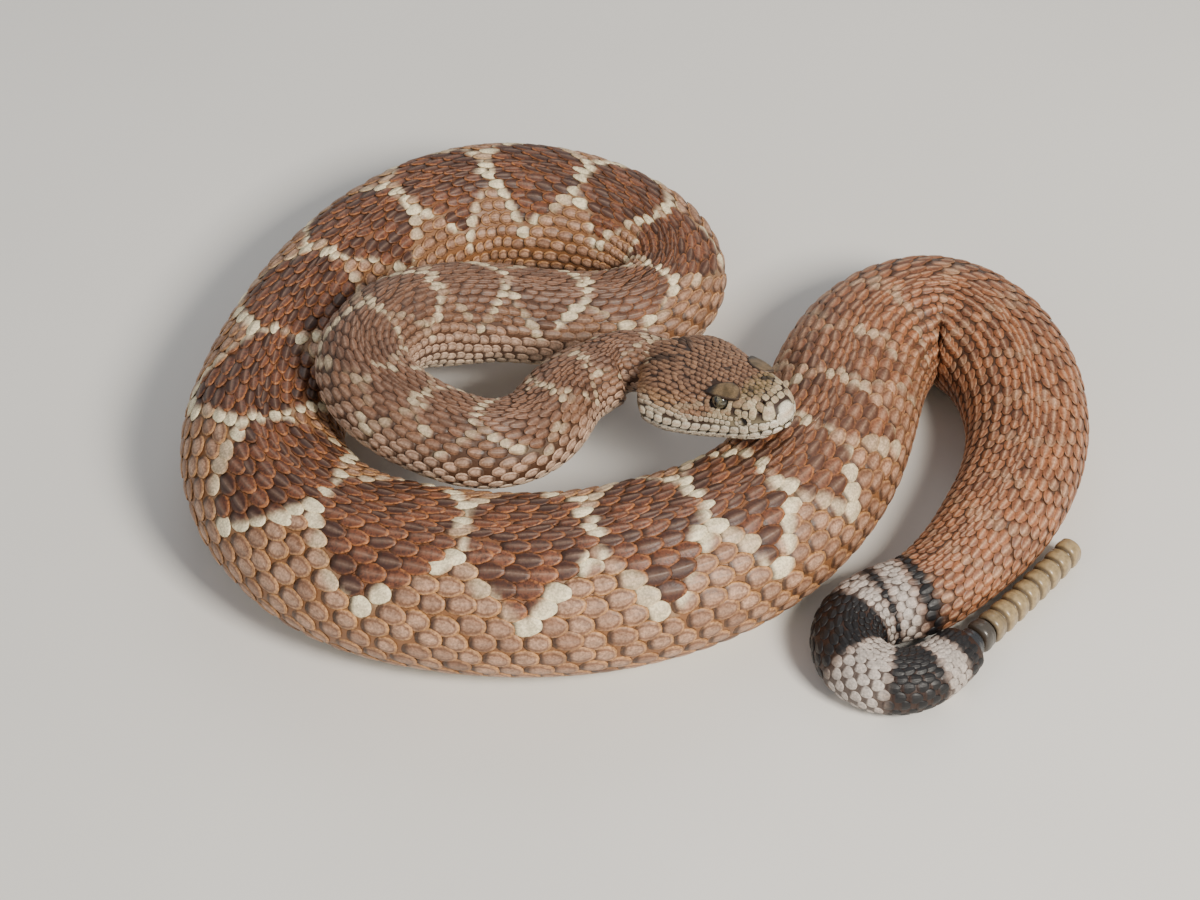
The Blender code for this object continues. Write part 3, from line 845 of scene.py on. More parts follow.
class Recipe:
    """Builds the nodes of one material with short calls."""

    def __init__(self, name: str) -> None:
        """Start a material whose shader has no links yet."""
        self.material = bpy.data.materials.new(name)
        self.material.use_nodes = True
        self.tree = self.material.node_tree
        self.shader = self.tree.nodes["Principled BSDF"]
        self.place = self.node("ShaderNodeTexCoord").outputs["Object"]

    def node(self, kind: str, **settings: object) -> bpy.types.Node:
        """Add a node and set its properties."""
        made = self.tree.nodes.new(kind)
        for key, value in settings.items():
            setattr(made, key, value)
        return made

    def feed(self, socket: Socket, value: object) -> None:
        """Link a socket to another or give it a plain value."""
        if isinstance(value, Socket):
            self.tree.links.new(value, socket)
        elif isinstance(value, tuple) and len(value) == 3 and socket.type == "RGBA":
            socket.default_value = (*value, 1.0)
        else:
            socket.default_value = value

    def math(self, operation: str, *values: object) -> Socket:
        """Combine numbers."""
        made = self.node("ShaderNodeMath", operation=operation)
        for socket, value in zip(made.inputs, values):
            self.feed(socket, value)
        return made.outputs[0]

    def mix(self, share: object, low: object, high: object,
            blend: str = "MIX") -> Socket:
        """Mix two colours."""
        made = self.node("ShaderNodeMix", data_type="RGBA", blend_type=blend)
        self.feed(made.inputs[0], share)
        self.feed(made.inputs[6], low)
        self.feed(made.inputs[7], high)
        return made.outputs[2]

    def wash(self, under: object, over: object, share: object, strength: object) -> Socket:
        """Lay a colour over another by a share and its strength."""
        return self.mix(self.math("MULTIPLY", share, strength), under, over)

    def grained(self, colour: Socket, fine: Socket, fine_ends: tuple[float, float],
                broad: Socket, broad_ends: tuple[float, float]) -> Socket:
        """Lighten and darken a colour by a fine and a broad noise, between two ends each."""
        grain = self.mix(1.0, self.ramp(fine, 0.3, 0.75, *fine_ends),
                         self.ramp(broad, 0.3, 0.7, *broad_ends), "MULTIPLY")
        return self.mix(1.0, colour, grain, "MULTIPLY")

    def ramp(self, value: object, low: float, high: float, start: float = 0.0,
             end: float = 1.0) -> Socket:
        """Map a range of a number onto another, held at its ends."""
        made = self.node("ShaderNodeMapRange", interpolation_type="SMOOTHSTEP")
        for socket, given in zip(made.inputs, (value, low, high, start, end)):
            self.feed(socket, given)
        return made.outputs[0]

    def noise(self, scale: float, detail: float) -> Socket:
        """Return a noise between 0 and 1 with a scale per metre."""
        made = self.node("ShaderNodeTexNoise")
        self.feed(made.inputs["Vector"], self.place)
        made.inputs["Scale"].default_value = scale
        made.inputs["Detail"].default_value = detail
        return made.outputs[0]

    def channels(self, name: str) -> list[Socket]:
        """Return the four values of a colour channel of the mesh."""
        source = self.node("ShaderNodeAttribute", attribute_name=name)
        split = self.node("ShaderNodeSeparateColor")
        self.feed(split.inputs[0], source.outputs["Color"])
        return [*split.outputs[:3], source.outputs["Alpha"]]

    def bump(self, height: Socket, strength: float, distance: float) -> None:
        """Roughen the surface by a height."""
        made = self.node("ShaderNodeBump")
        made.inputs["Strength"].default_value = strength
        made.inputs["Distance"].default_value = distance
        self.feed(made.inputs["Height"], height)
        self.feed(self.shader.inputs["Normal"], made.outputs[0])

    def finish(self, colour: object, roughness: object, **fixed: float) -> bpy.types.Material:
        """Set the shader's colour, roughness and fixed sockets."""
        self.feed(self.shader.inputs["Base Color"], colour)
        self.feed(self.shader.inputs["Roughness"], roughness)
        for key, value in fixed.items():
            self.shader.inputs[key.replace("_", " ")].default_value = value
        return self.material


@dataclass(frozen=True)
class ScaleFinish:
    """The colours of scaled skin, mixed by the markings that the mesh carries."""

    name: str
    kind: Shade = Shade.SCALE
    flank: Triple = (0.53, 0.305, 0.19)
    flank_dark: Triple = (0.33, 0.17, 0.10)
    ring: Triple = (0.20, 0.085, 0.038)
    gold: Triple = (0.56, 0.275, 0.10)
    rust: Triple = (0.22, 0.070, 0.030)
    maroon: Triple = (0.105, 0.033, 0.017)
    rust_low: Triple = (0.36, 0.15, 0.07)
    rust_rim: Triple = (0.47, 0.175, 0.058)
    hind: Triple = (0.33, 0.105, 0.036)
    hind_dark: Triple = (0.19, 0.062, 0.026)
    # Colour of the painted highlight on the keels of the hind body.
    hind_keel_highlight: Triple = (0.66, 0.36, 0.19)
    fore: Triple = (0.21, 0.105, 0.062)
    # Lower flank of the forebody: partly its own paler colour, partly painted light; also the colour
    # of the painted keel highlight.
    fore_low: Triple = (0.74, 0.51, 0.37)
    dark: Triple = (0.045, 0.016, 0.010)
    cream: Triple = (1.0, 0.86, 0.56)
    belly: Triple = (0.72, 0.62, 0.47)
    black: Triple = (0.010, 0.009, 0.010)
    ash: Triple = (0.56, 0.51, 0.46)
    # Dark brown of the painted shadow line where the scales overlap; the skin between the scales also
    # mixes it in.
    outline: Triple = (0.040, 0.016, 0.008)
    gap: Triple = (0.21, 0.085, 0.030)
    crown_gap: Triple = (0.040, 0.019, 0.011)
    face_gap: Triple = (0.26, 0.21, 0.13)

    def make(self) -> bpy.types.Material:
        """Mix the colours of the scales from the channels of the mesh."""
        r = Recipe(self.name)
        blotch, cream, dark, belly = r.channels("marks")
        edge, keel, shade, tone = r.channels("place")
        black, ash, run, low = r.channels("bands")
        fine = r.noise(1500, 4)
        broad = r.noise(240, 3)
        rim = r.ramp(edge, 0.20, 0.52)
        ring = r.math("MULTIPLY", r.ramp(edge, 0.02, 0.16), r.ramp(edge, 0.40, 0.20))
        speck = r.ramp(r.math("ADD", fine, r.math("MULTIPLY", shade, 0.22)), 0.56, 0.72)
        worm = r.ramp(r.noise(900, 2), 0.50, 0.60)
        flank = r.mix(r.ramp(shade, 0.25, 1.0), self.flank, self.flank_dark)
        flank = r.wash(flank, self.ring, ring, 0.75)
        flank = r.wash(flank, self.gold, rim, r.ramp(shade, 0.0, 1.0, 0.95, 0.6))
        flank = r.wash(flank, self.ring, worm, 0.42)
        back = r.mix(r.ramp(low, 0.2, 1.0), self.rust, self.rust_low)
        back = r.mix(r.ramp(shade, 0.1, 1.0), back, self.maroon)
        back = r.wash(back, self.dark, speck, 0.8)
        back = r.wash(back, self.rust_rim, rim, r.ramp(shade, 0.0, 1.0, 0.9, 0.55))
        back = r.wash(back, self.dark, worm, 0.6)
        colour = r.mix(blotch, flank, back)
        # The forebody pales down the flank from fore to fore_low: partly real, partly painted light
        # on the lower flank.
        fore = r.mix(low, self.fore, self.fore_low)
        fore = r.wash(fore, self.ring, ring, 0.6)
        colour = r.mix(r.ramp(tone, 0.42, 0.14, 0.0, 0.8), colour, fore)
        hind = r.mix(r.ramp(shade, 0.2, 0.9), self.hind, self.hind_dark)
        hind = r.mix(r.ramp(edge, 0.25, 0.8, 0.0, 0.75), hind, self.ring)
        # Painted highlight: the keels of the hind body are lightened.
        hind = r.wash(hind, self.hind_keel_highlight, keel, 0.85)
        colour = r.mix(r.ramp(tone, 0.5, 1.0, 0.0, 0.8), colour, hind)
        colour = r.mix(dark, colour, self.dark)
        colour = r.mix(cream, colour, self.cream)
        # The belly share also carries the painted light on the forebody's lower flank.
        colour = r.mix(belly, colour, self.belly)
        # Painted highlight: every keel is lightened a little towards fore_low.
        colour = r.wash(colour, self.fore_low, keel, 0.22)
        colour = r.mix(black, colour, self.black)
        colour = r.mix(ash, colour, self.ash)
        # Painted shadow: a dark line along each scale's rim and over its root, where the scales
        # overlap.
        line = r.math("MAXIMUM", r.ramp(edge, 0.86, 0.99), r.ramp(run, 0.34, 0.16))
        if self.kind is Shade.SKIN:
            line = 0.0
        colour = r.wash(colour, self.outline, line, 0.8)
        colour = r.grained(colour, fine, (0.68, 1.22), broad, (0.84, 1.14))
        if self.kind is Shade.SKIN:
            share = r.math("SUBTRACT", 0.85, r.math("MULTIPLY", belly, 0.45))
            gap = r.mix(blotch, self.gap, self.ring)
            gap = r.mix(r.ramp(tone, 0.45, 0.05), gap, self.outline)
            gap = r.mix(r.ramp(tone, 0.6, 1.0), gap, self.outline)
            colour = r.mix(share, colour, gap)
            colour = r.mix(run, colour, r.mix(low, self.crown_gap, self.face_gap))
        r.bump(r.noise(2600, 4), 0.25, 0.0002)
        return r.finish(colour, r.ramp(fine, 0.2, 0.8, 0.40, 0.60))


@dataclass
class Coat:
    """The rows of keeled scales on the back and flanks and the scutes of the belly."""

    hide: Hide
    marks: Markings
    rows: Stations = ((0, 11.5), (100, 12.5), (600, 12.5), (800, 11.2), (870, 9.6), (900, 8.6),
                      (940, 6.8))
    pitch: Stations = ((-4, 2.6), (30, 3.6), (80, 4.2), (180, 4.6), (300, 5.3), (430, 6.0),
                       (520, 6.3), (600, 6.0), (690, 4.7), (800, 3.9), (860, 3.2), (900, 2.8),
                       (940, 2.4))
    spread: float = 1.32
    belly_share: float = 0.775
    overlap: float = 1.36
    body_form: ScaleForm = ScaleForm()
    scute_form: ScaleForm = ScaleForm(along=5, across=tuple(np.linspace(-1, 1, 15)))
    per_piece: int = 1300
    samples: int = 4000
    most_rows: int = 13
    full_pitch: float = 6.0

    def edge(self, at: Array, side: Array) -> Array:
        """Return the arc length from the back to the scutes of the belly."""
        upper, lower = self.hide.arcs(at, side)
        return self.belly_share * (upper + lower)

    def lattice(self) -> ScaleSet:
        """Place every scale of the back and flanks."""
        rng = np.random.default_rng(SEED)
        at_fine = np.linspace(-4, self.hide.rows[-1], self.samples)
        count = step_count(self.pitch, at_fine)
        number, row = staggered(int(count[-1]), self.most_rows)
        at = np.interp(number + 0.5 * (row % 2), count, at_fine)
        side = np.where(row >= 0, 1.0, -1.0)
        edge = self.edge(at, side)
        total = smooth_profile(self.rows, at)
        share = np.abs(row) / total
        keep = share < 1.02
        arc = side * edge * share ** self.spread
        spacing = edge / total * self.spread * np.maximum(share, 0.06) ** (self.spread - 1)
        stretch = self.hide.sample(at, self.hide.share_of(at, arc), self.hide.stretch)
        pitch = smooth_profile(self.pitch, at)
        fit = np.clip(stretch, 0.5, 1.12)
        flank = smoothstep(0.45, 0.8, share)
        length = (self.overlap - 0.22 * flank) * pitch * fit
        length *= 1 + 0.07 * rng.standard_normal(len(at))
        half_width = spacing * (0.66 - 0.06 * flank) * np.clip(fit, 0.8, 1.05)
        arc = arc + 0.06 * spacing * rng.standard_normal(len(at))
        turn = 0.07 * rng.standard_normal(len(at))
        size = np.clip(pitch / self.full_pitch, 0.4, 1.0)
        found = ScaleSet(
            self.body_form, at, arc, length, half_width, turn=turn,
            sink=-0.1 * size, lift=(0.78 - 0.22 * flank) * size,
            dome=(0.26 + 0.2 * flank) * size, keel=0.34 * (1 - 0.9 * flank) * size,
            tip=0.4 - 0.4 * flank, square=0.12 - 0.04 * flank, thick=0.34 * size,
            shade=rng.random(len(at)))
        return found.cut(keep)

    def scutes(self) -> ScaleSet:
        """Place the wide scutes of the belly, one for each step of the rows."""
        at_fine = np.linspace(-2, self.hide.rows[-1] - 3, self.samples)
        count = step_count(self.pitch, at_fine)
        at = np.interp(np.arange(int(count[-1])), count, at_fine)
        upper, lower = self.hide.arcs(at, np.ones_like(at))
        whole = upper + lower
        pitch = smooth_profile(self.pitch, at)
        size = np.clip(pitch / self.full_pitch, 0.4, 1.0)
        return ScaleSet(
            self.scute_form, at, whole, 1.4 * pitch,
            whole * (1 - self.belly_share) * 1.12, lift=0.45 * size, dome=0.0 * size,
            square=np.full(len(at), 0.85), thick=0.25 * size,
            shade=np.random.default_rng(SEED + 1).random(len(at)))

    def channels(self, laid: LaidScales, belly: float = 0.0) -> dict[str, Array]:
        """Return the colour channels of laid scales."""
        rng = np.random.default_rng(SEED + 2)
        shape = laid.at.shape
        jitter = 0.7 * rng.standard_normal((shape[0], 1))
        middle_at = laid.at.mean(axis=1, keepdims=True)
        middle_arc = laid.arc.mean(axis=1, keepdims=True)
        marks = pattern(self, middle_at, middle_arc, jitter, laid.at, laid.arc, laid.shade)
        share = rng.uniform(-0.1, 0.45, (shape[0], 1))
        marks[..., 1] *= smoothstep(share - 0.1, share + 0.12, laid.run)
        black, ash = tail_bands(laid.at * 0.5 + middle_at * 0.5)
        # Painted light, partly real paling: the forebody's lower flank is lightened towards the belly
        # colour.
        pale = smoothstep(0.62, 0.97, np.abs(middle_arc) / self.edge(middle_at, middle_arc))
        pale = 0.7 * pale * smoothstep(300, 180, middle_at)
        marks[..., 3] = np.maximum(np.maximum(marks[..., 3], pale), belly)
        place = np.stack([laid.edge, laid.ridge, np.broadcast_to(laid.shade, shape),
                          smooth_profile(self.marks.tone, laid.at)], axis=-1)
        low = smoothstep(0.36, 0.72, np.abs(middle_arc) / self.edge(middle_at, middle_arc))
        bands = np.stack([black, ash, laid.run, low + np.zeros(shape)], axis=-1)
        return {"marks": marks, "place": place, "bands": bands}

    def build(self, material: bpy.types.Material) -> list[Item]:
        """Build the coat in pieces of a limited number of scales."""
        made = []
        lattice = self.lattice()
        order = np.argsort(lattice.at, kind="stable")
        parts = math.ceil(len(order) / self.per_piece)
        for i, chosen in enumerate(np.array_split(order, parts)):
            laid = lattice.cut(chosen).lay(self.hide)
            made.append(laid.mesh(f"back_scales_{i + 1}", self.channels(laid)))
        laid = self.scutes().lay(self.hide)
        made.append(laid.mesh("belly_scutes", self.channels(laid, 1.0)))
        for item in made:
            item.data.materials.append(material)
        return made


def pattern(coat: Coat, middle_at: Array, middle_arc: Array, jitter: Array, at: Array, arc: Array,
            shade: Array) -> Array:
    """Return blotch, cream, dark and belly shares for corners of scales.

    Args:
        coat: The coat whose markings and edge are used.
        middle_at: Distance along the body of each scale's middle.
        middle_arc: Arc length of each scale's middle.
        jitter: Shift of each scale's border.
        at: Distance of each corner.
        arc: Arc length of each corner.
        shade: A random value for each scale.

    Returns:
        Four values for each corner.
    """
    marks = coat.marks
    edge = coat.edge(middle_at, middle_arc)
    whole = marks.inside(middle_at, middle_arc, edge)
    part = marks.inside(at, arc, np.broadcast_to(edge, at.shape))
    depth = 0.55 * whole + 0.45 * part + jitter
    size = smooth_profile(coat.pitch, middle_at) / 5.5
    strength = smooth_profile(marks.contrast, middle_at)
    blotch = smoothstep(-0.7, 0.7, depth / size) * (0.3 + 0.7 * strength)
    border = marks.border
    cream = smoothstep(-border - 0.5, -border + 0.5, depth / size)
    cream = cream * smoothstep(0.5, -0.5, depth / size)
    bands = np.array(marks.bands)
    i = np.clip(np.searchsorted(bands, middle_at), 1, len(bands) - 1)
    after = (middle_at - bands[i - 1]) / (bands[i] - bands[i - 1])
    side_share = np.abs(middle_arc) / edge
    weak = smoothstep(0.5, 0.2, after) * smoothstep(0.14, 0.24, side_share)
    cream = cream * np.clip(strength, 0, 1) ** 1.3 * (1 - 0.6 * weak)
    cream = cream * np.where(shade < 0.16, 0.2, 1.0)
    low = smoothstep(0.86, 1.02, np.abs(arc) / edge)
    rim_dark = smoothstep(0.0, 1.2, depth / size) * smoothstep(10.5, 4.0, depth / size)
    speck = np.where(shade > 0.5, 1.0, 0.2)
    dark = 0.45 * rim_dark * speck * strength
    near = np.minimum(middle_at - bands[i - 1], bands[i] - middle_at)
    spot = smoothstep(6.5, 3.0, near) * smoothstep(0.7, 0.78, side_share)
    spot = spot * smoothstep(0.97, 0.9, side_share)
    dark = np.maximum(dark, 0.5 * spot * speck * strength)
    return np.stack([blotch + 0 * part, cream + 0 * part, dark + 0 * part, low], axis=-1)


TAIL_BLACK = ((847.5, 851.5), (858.5, 862), (867.5, 884.5), (895, 908), (915, 925))
TAIL_START = 851.0
TAIL_SOFT = 1.2


def tail_bands(at: Array) -> tuple[Array, Array]:
    """Return how black and how ashy the tail is at distances along the body."""
    black = np.zeros_like(at)
    for start, end in TAIL_BLACK:
        band = smoothstep(start - TAIL_SOFT, start + TAIL_SOFT, at)
        black = np.maximum(black, band * smoothstep(end + TAIL_SOFT, end - TAIL_SOFT, at))
    ash = smoothstep(TAIL_START - 2, TAIL_START + 4, at) * (1 - black) * 0.85
    return black, ash


@dataclass
class Skin:
    """The one skin under the coat, from the snout to the rattle."""

    hide: Hide
    coat: Coat
    form: HeadForm

    def build(self, material: bpy.types.Material) -> Item:
        """Build the skin as one closed grid with the coat's markings."""
        rows, columns = self.hide.points.shape[:2]
        points = self.hide.points.reshape(-1, 3).copy()
        points[:, 2] = np.maximum(points[:, 2], SKIN_CLEAR)
        at = np.repeat(self.hide.rows, columns).reshape(rows, columns)
        share = np.tile(self.hide.shares, (rows, 1))
        side = np.where(share >= 0, 1.0, -1.0)
        upper, lower = self.hide.arcs(at, side)
        size = np.abs(share)
        arc = side * np.where(size < 0.5, 2 * size * upper, upper + (2 * size - 1) * lower)
        marks = pattern(self.coat, at, arc, np.zeros_like(at), at, arc, np.full_like(at, 0.5))
        marks = np.where(at[..., None] < 0, 0.0, marks)
        black, ash = tail_bands(at)
        place = np.stack([np.full_like(at, 0.9), 0 * at, 0.5 + 0 * at,
                          smooth_profile(self.coat.marks.tone, at)], axis=-1)
        head = smoothstep(3.0, -3.0, at)
        back = at + HEAD_LENGTH
        face = smoothstep(0.30, 0.40, size) * smoothstep(20, 12, back)
        face = np.maximum(face, smoothstep(0.42, 0.52, size))
        local = in_head_frame(self.hide.points)
        # Painted shade: in and around the pits, nostrils and eye sockets the skin takes the dark
        # crown colour instead of the pale face colour.
        hollows = ((self.form.pit, 1.6), (self.form.nostril, 1.4), (self.form.eye, 3.2))
        for hollow, reach in hollows:
            away = np.hypot(local[..., 0] + hollow[0], local[..., 2] - hollow[2])
            face = face * smoothstep(reach - 0.6, reach, away)
        bands = np.stack([black, ash, head, face * head], axis=-1)
        ring = columns - 1
        j, k = np.meshgrid(np.arange(rows - 1), np.arange(ring), indexing="ij")
        a = (j * columns + k).ravel()
        quads = np.stack([a, a + columns, a + columns + 1, a + 1], axis=1)
        ends = [np.arange(ring), (rows - 1) * columns + np.arange(ring)[::-1]]
        spots = np.concatenate([quads.ravel(), *ends])
        totals = np.concatenate([np.full(len(quads), 4), [ring, ring]])
        loops = spots // columns * ring + spots % columns % ring
        channels = {key: value[:, :-1].reshape(-1, 4) for key, value in
                    (("marks", marks), ("place", place), ("bands", bands))}
        patch = unwrap(at, share).reshape(-1, 2)[spots]
        points = points.reshape(rows, columns, 3)[:, :-1].reshape(-1, 3)
        item = joined_mesh("skin", points, loops, totals, channels, patch)
        item.data.materials.append(material)
        return item


@dataclass(frozen=True)
class HeadFinish:
    """The colours of the head: a brown crown, an olive snout, pale lips and dark outlines."""

    name: str
    crown: Triple = (0.15, 0.073, 0.043)
    crown_light: Triple = (0.28, 0.145, 0.080)
    outline: Triple = (0.030, 0.015, 0.010)
    temple: Triple = (0.50, 0.29, 0.14)
    olive: Triple = (0.145, 0.105, 0.040)
    olive_light: Triple = (0.25, 0.175, 0.085)
    pale: Triple = (0.58, 0.48, 0.31)
    pale_brown: Triple = (0.30, 0.21, 0.12)
    white: Triple = (0.80, 0.73, 0.58)
    spot: Triple = (0.016, 0.011, 0.009)
    # Colour of the painted highlight on the keels of the head scales.
    keel: Triple = (0.47, 0.27, 0.155)

    def make(self) -> bpy.types.Material:
        """Mix the colours of the head from the channels of the mesh."""
        r = Recipe(self.name)
        temple, pale, dark, white = r.channels("marks")
        edge, keel, shade, _ = r.channels("place")
        _, _, olive, line = r.channels("bands")
        fine = r.noise(2400, 4)
        broad = r.noise(420, 3)
        colour = r.mix(r.ramp(shade, 0.1, 0.95), self.crown, self.crown_light)
        colour = r.wash(colour, self.temple, temple, 0.7)
        colour = r.mix(olive, colour, r.mix(r.ramp(broad, 0.35, 0.65), self.olive, self.olive_light))
        colour = r.mix(pale, colour, r.mix(r.ramp(shade, 0.35, 1.0), self.pale, self.pale_brown))
        colour = r.mix(white, colour, self.white)
        # Painted highlight: the keels of the head scales are lightened.
        colour = r.wash(colour, self.keel, keel, 0.5)
        colour = r.mix(dark, colour, self.spot)
        colour = r.wash(colour, self.outline, r.ramp(edge, 0.30, 0.75), line)
        colour = r.grained(colour, fine, (0.70, 1.2), broad, (0.86, 1.12))
        r.bump(r.noise(3400, 4), 0.25, 0.00015)
        return r.finish(colour, r.ramp(fine, 0.2, 0.8, 0.36, 0.55))


@dataclass
class HeadCoat:
    """The small keeled scales of the crown and cheeks and the plates of the face."""

    hide: Hide
    form: HeadForm
    inset: float
    pitch: Stations = ((4, 1.7), (12, 1.75), (26, 2.0), (36, 2.6), (48, 2.6))
    spacing: Stations = ((4, 1.55), (20, 1.65), (34, 1.6), (48, 1.75))
    lip_height: float = 3.0
    labials: int = 15
    samples: int = 600
    most_rows: int = 26
    canthals: tuple[tuple[float, float, float, float], ...] = (
        (-0.9, 1.5, 2.8, 1.6), (-0.9, 4.4, 2.9, 1.5), (1.3, 1.35, 2.6, 1.4), (1.1, 4.1, 2.8, 1.5),
        (0.4, 6.6, 2.8, 1.3), (2.5, 6.6, 3.2, 1.5), (4.9, 7.9, 3.4, 1.7), (7.8, 8.5, 4.2, 1.7),
        (3.3, 2.9, 2.3, 1.25), (3.3, 0.75, 2.2, 0.95), (4.7, 5.1, 2.7, 1.25),
    )
    crown_form: ScaleForm = ScaleForm(
        along=6, across=(-1, -0.8, -0.3, 0, 0.3, 0.8, 1), keel_width=0.3)
    plate_form: ScaleForm = ScaleForm(along=8, across=(-1, -0.88, -0.5, 0, 0.5, 0.88, 1))
    brow_form: ScaleForm = ScaleForm(along=20, across=tuple(np.linspace(-1, 1, 15)))
    brow_outline: Stations = (
        (0, 0.15), (0.06, 0.55), (0.2, 0.88), (0.4, 1.0), (0.65, 0.84), (0.85, 0.55), (0.96, 0.3),
        (1, 0.1),
    )
    brow_droop: float = math.radians(15.0)
    brow_sink: float = 0.5
    brow_shade: float = 0.3

    def in_head(self, points: Array) -> tuple[Array, Array, Array]:
        """Return distance back, distance out and height of points, in the head's frame."""
        local = in_head_frame(points)
        return -local[..., 0], np.abs(local[..., 1]), local[..., 2]

    def small_scales(self) -> ScaleSet:
        """Place the small scales of the crown, cheeks and throat."""
        rng = np.random.default_rng(SEED + 5)
        fine = np.linspace(3.0, HEAD_LENGTH + 0.5, self.samples)
        count = step_count(self.pitch, fine)
        number, row = staggered(int(count[-1]), self.most_rows)
        back = np.interp(number + 0.5 * (row % 2), count, fine)
        back = back + 0.12 * rng.standard_normal(len(back))
        at = back - HEAD_LENGTH
        space = smooth_profile(self.spacing, back)
        arc = row * space + 0.1 * rng.standard_normal(len(back))
        pitch = smooth_profile(self.pitch, back)
        upper, lower = self.hide.arcs(at, arc)
        middle = at + 0.5 * pitch
        point = self.hide.sample(middle, self.hide.share_of(middle, arc), self.hide.points)
        b, out, z = self.in_head(point)
        above = np.abs(arc) < upper - self.lip_height
        below = np.abs(arc) > upper + 2.6
        chin = below & (np.abs(arc) < upper + lower)
        eye = np.hypot(b - self.form.eye[0], z - self.form.eye[2]) < 4.0
        eye &= out > 6
        brow = ((b - self.form.brow[0]) / 4.6) ** 2 + ((out - self.form.brow[1]) / 2.3) ** 2 < 1
        brow &= z > 6
        crown = smooth_profile(self.form.crown, b)
        face = (b < 12.4) & (z < crown - 1.6)
        face |= (b < 20.5) & (z < self.form.pit[2] + 2.2) & above
        tip = (b < 0.8) & above
        for start, place, length, half in self.canthals:
            near = (b > start + 0.2) & (b < start + length - 0.2)
            tip |= (np.abs(np.abs(arc) - place) < half - 0.2) & near & above
        keep = (above & ~eye & ~brow & ~face & ~tip) | (chin & (b > 4))
        rear = smoothstep(24, 40, back)
        wave = 0.22 * np.sin(arc * 0.55 + back * 0.35) * rear
        found = ScaleSet(
            self.crown_form, at, arc, (1.42 + 0.3 * rear) * pitch * rng.uniform(0.88, 1.14, len(at)),
            space * (0.62 - 0.06 * rear) * rng.uniform(0.86, 1.1, len(at)),
            turn=0.15 * rng.standard_normal(len(at)) + wave,
            sink=-0.05, lift=0.36, dome=0.2, keel=np.where(chin, 0.0, 0.16 + 0.12 * rear), tip=0.15,
            square=0.1, thick=0.22, shade=rng.random(len(at)))
        return found.cut(keep)

    def snout_plates(self) -> ScaleSet:
        """Place the plates between the nostrils and along the edges of the snout."""
        rng = np.random.default_rng(SEED + 8)
        rows = []
        for start, arc, length, half in self.canthals:
            for side in (1, -1):
                rows.append((start - HEAD_LENGTH, side * arc, length, half))
        at, arc, length, half = np.array(rows).T
        return ScaleSet(self.plate_form, at, arc, length, half, sink=0.04, lift=0.3, dome=0.14,
                        square=0.8, thick=0.3, shade=rng.random(len(rows)))

    def face_plates(self, face: FaceMap) -> ScaleSet:
        """Place the plates of one side of the face, from the snout back to the jaw's corner."""
        rng = np.random.default_rng(SEED + 6)
        form = self.form
        rows = []

        def add(at: float, height: float, length: float, half: float, turn: float = 0.0,
                square: float = 0.8, dome: float = 0.22) -> None:
            """Note one plate: front edge, height, length, half height and how it is turned."""
            rows.append((at, height, length, half, turn, square, dome))

        nose = face.run_at(form.nostril[0], form.nostril[2])
        pit = face.run_at(form.pit[0], form.pit[2])
        eye = face.run_at(form.eye[0], form.eye[2])
        if face.side > 0:
            add(-3.5, 3.0, 7.0, 3.4, square=0.95, dome=0.3)
            add(-1.4, -1.7, 2.8, 1.2, square=0.5)
        add(3.6, 5.2, nose - 4.3, 2.75, square=1.0)
        add(nose + 0.75, 5.0, 2.5, 2.5, square=0.95)
        add(nose + 3.3, 6.6, 2.4, 1.25, square=0.8)
        add(nose + 5.6, 6.7, eye - nose - 9.6, 1.3, square=0.8)
        add(nose + 3.3, 4.2, 2.1, 1.15, square=0.7)
        add(nose + 5.3, 4.5, 2.3, 1.0, square=0.6)
        for i in range(4):
            add(3.7 + 1.65 * i, 1.95 - 0.25 * i, 1.75, 0.78, square=0.6, dome=0.14)
        end = face.run_at(MOUTH_LENGTH - 1.0, 0.5)
        step = (end - 3.0) / self.labials
        for i in range(self.labials):
            at = 3.0 + i * step
            line = float(smooth_profile(form.mouth, face.back_at(at, 0.0)))
            add(at, line + 1.5, step * 1.04, 1.44 - 0.14 * rng.random(), dome=0.32)
            add(at - 1.2, line - 1.5, step * 1.03, 1.18, square=0.7, dome=0.3)
        for i in range(8):
            angle = 2 * math.pi * i / 8 + 0.3
            add(pit + 2.75 * math.cos(angle), form.pit[2] + 2.5 * math.sin(angle), 1.35, 0.85,
                turn=angle + math.pi, square=0.6, dome=0.12)
        for i in range(30):
            at = pit + 3.7 + 1.6 * (i % 10) - 0.8 * (i // 10 % 2)
            add(at, form.pit[2] + 1.75 - 1.55 * (i // 10) + 0.03 * (at - pit), 1.75, 0.88, square=0.4,
                dome=0.18)
        for i in range(14):
            angle = math.radians(128 + i * 19)
            add(eye + 4.5 * math.cos(angle), form.eye[2] + 4.3 * math.sin(angle), 1.8, 0.8,
                turn=angle + math.pi, square=0.5, dome=0.16)
        at, height, length, half, turn, square, dome = np.array(rows).T
        return ScaleSet(self.plate_form, at, height, length, half, turn=turn, sink=0.1, lift=0.18,
                        dome=dome, square=square, thick=0.34, shade=rng.random(len(rows)))

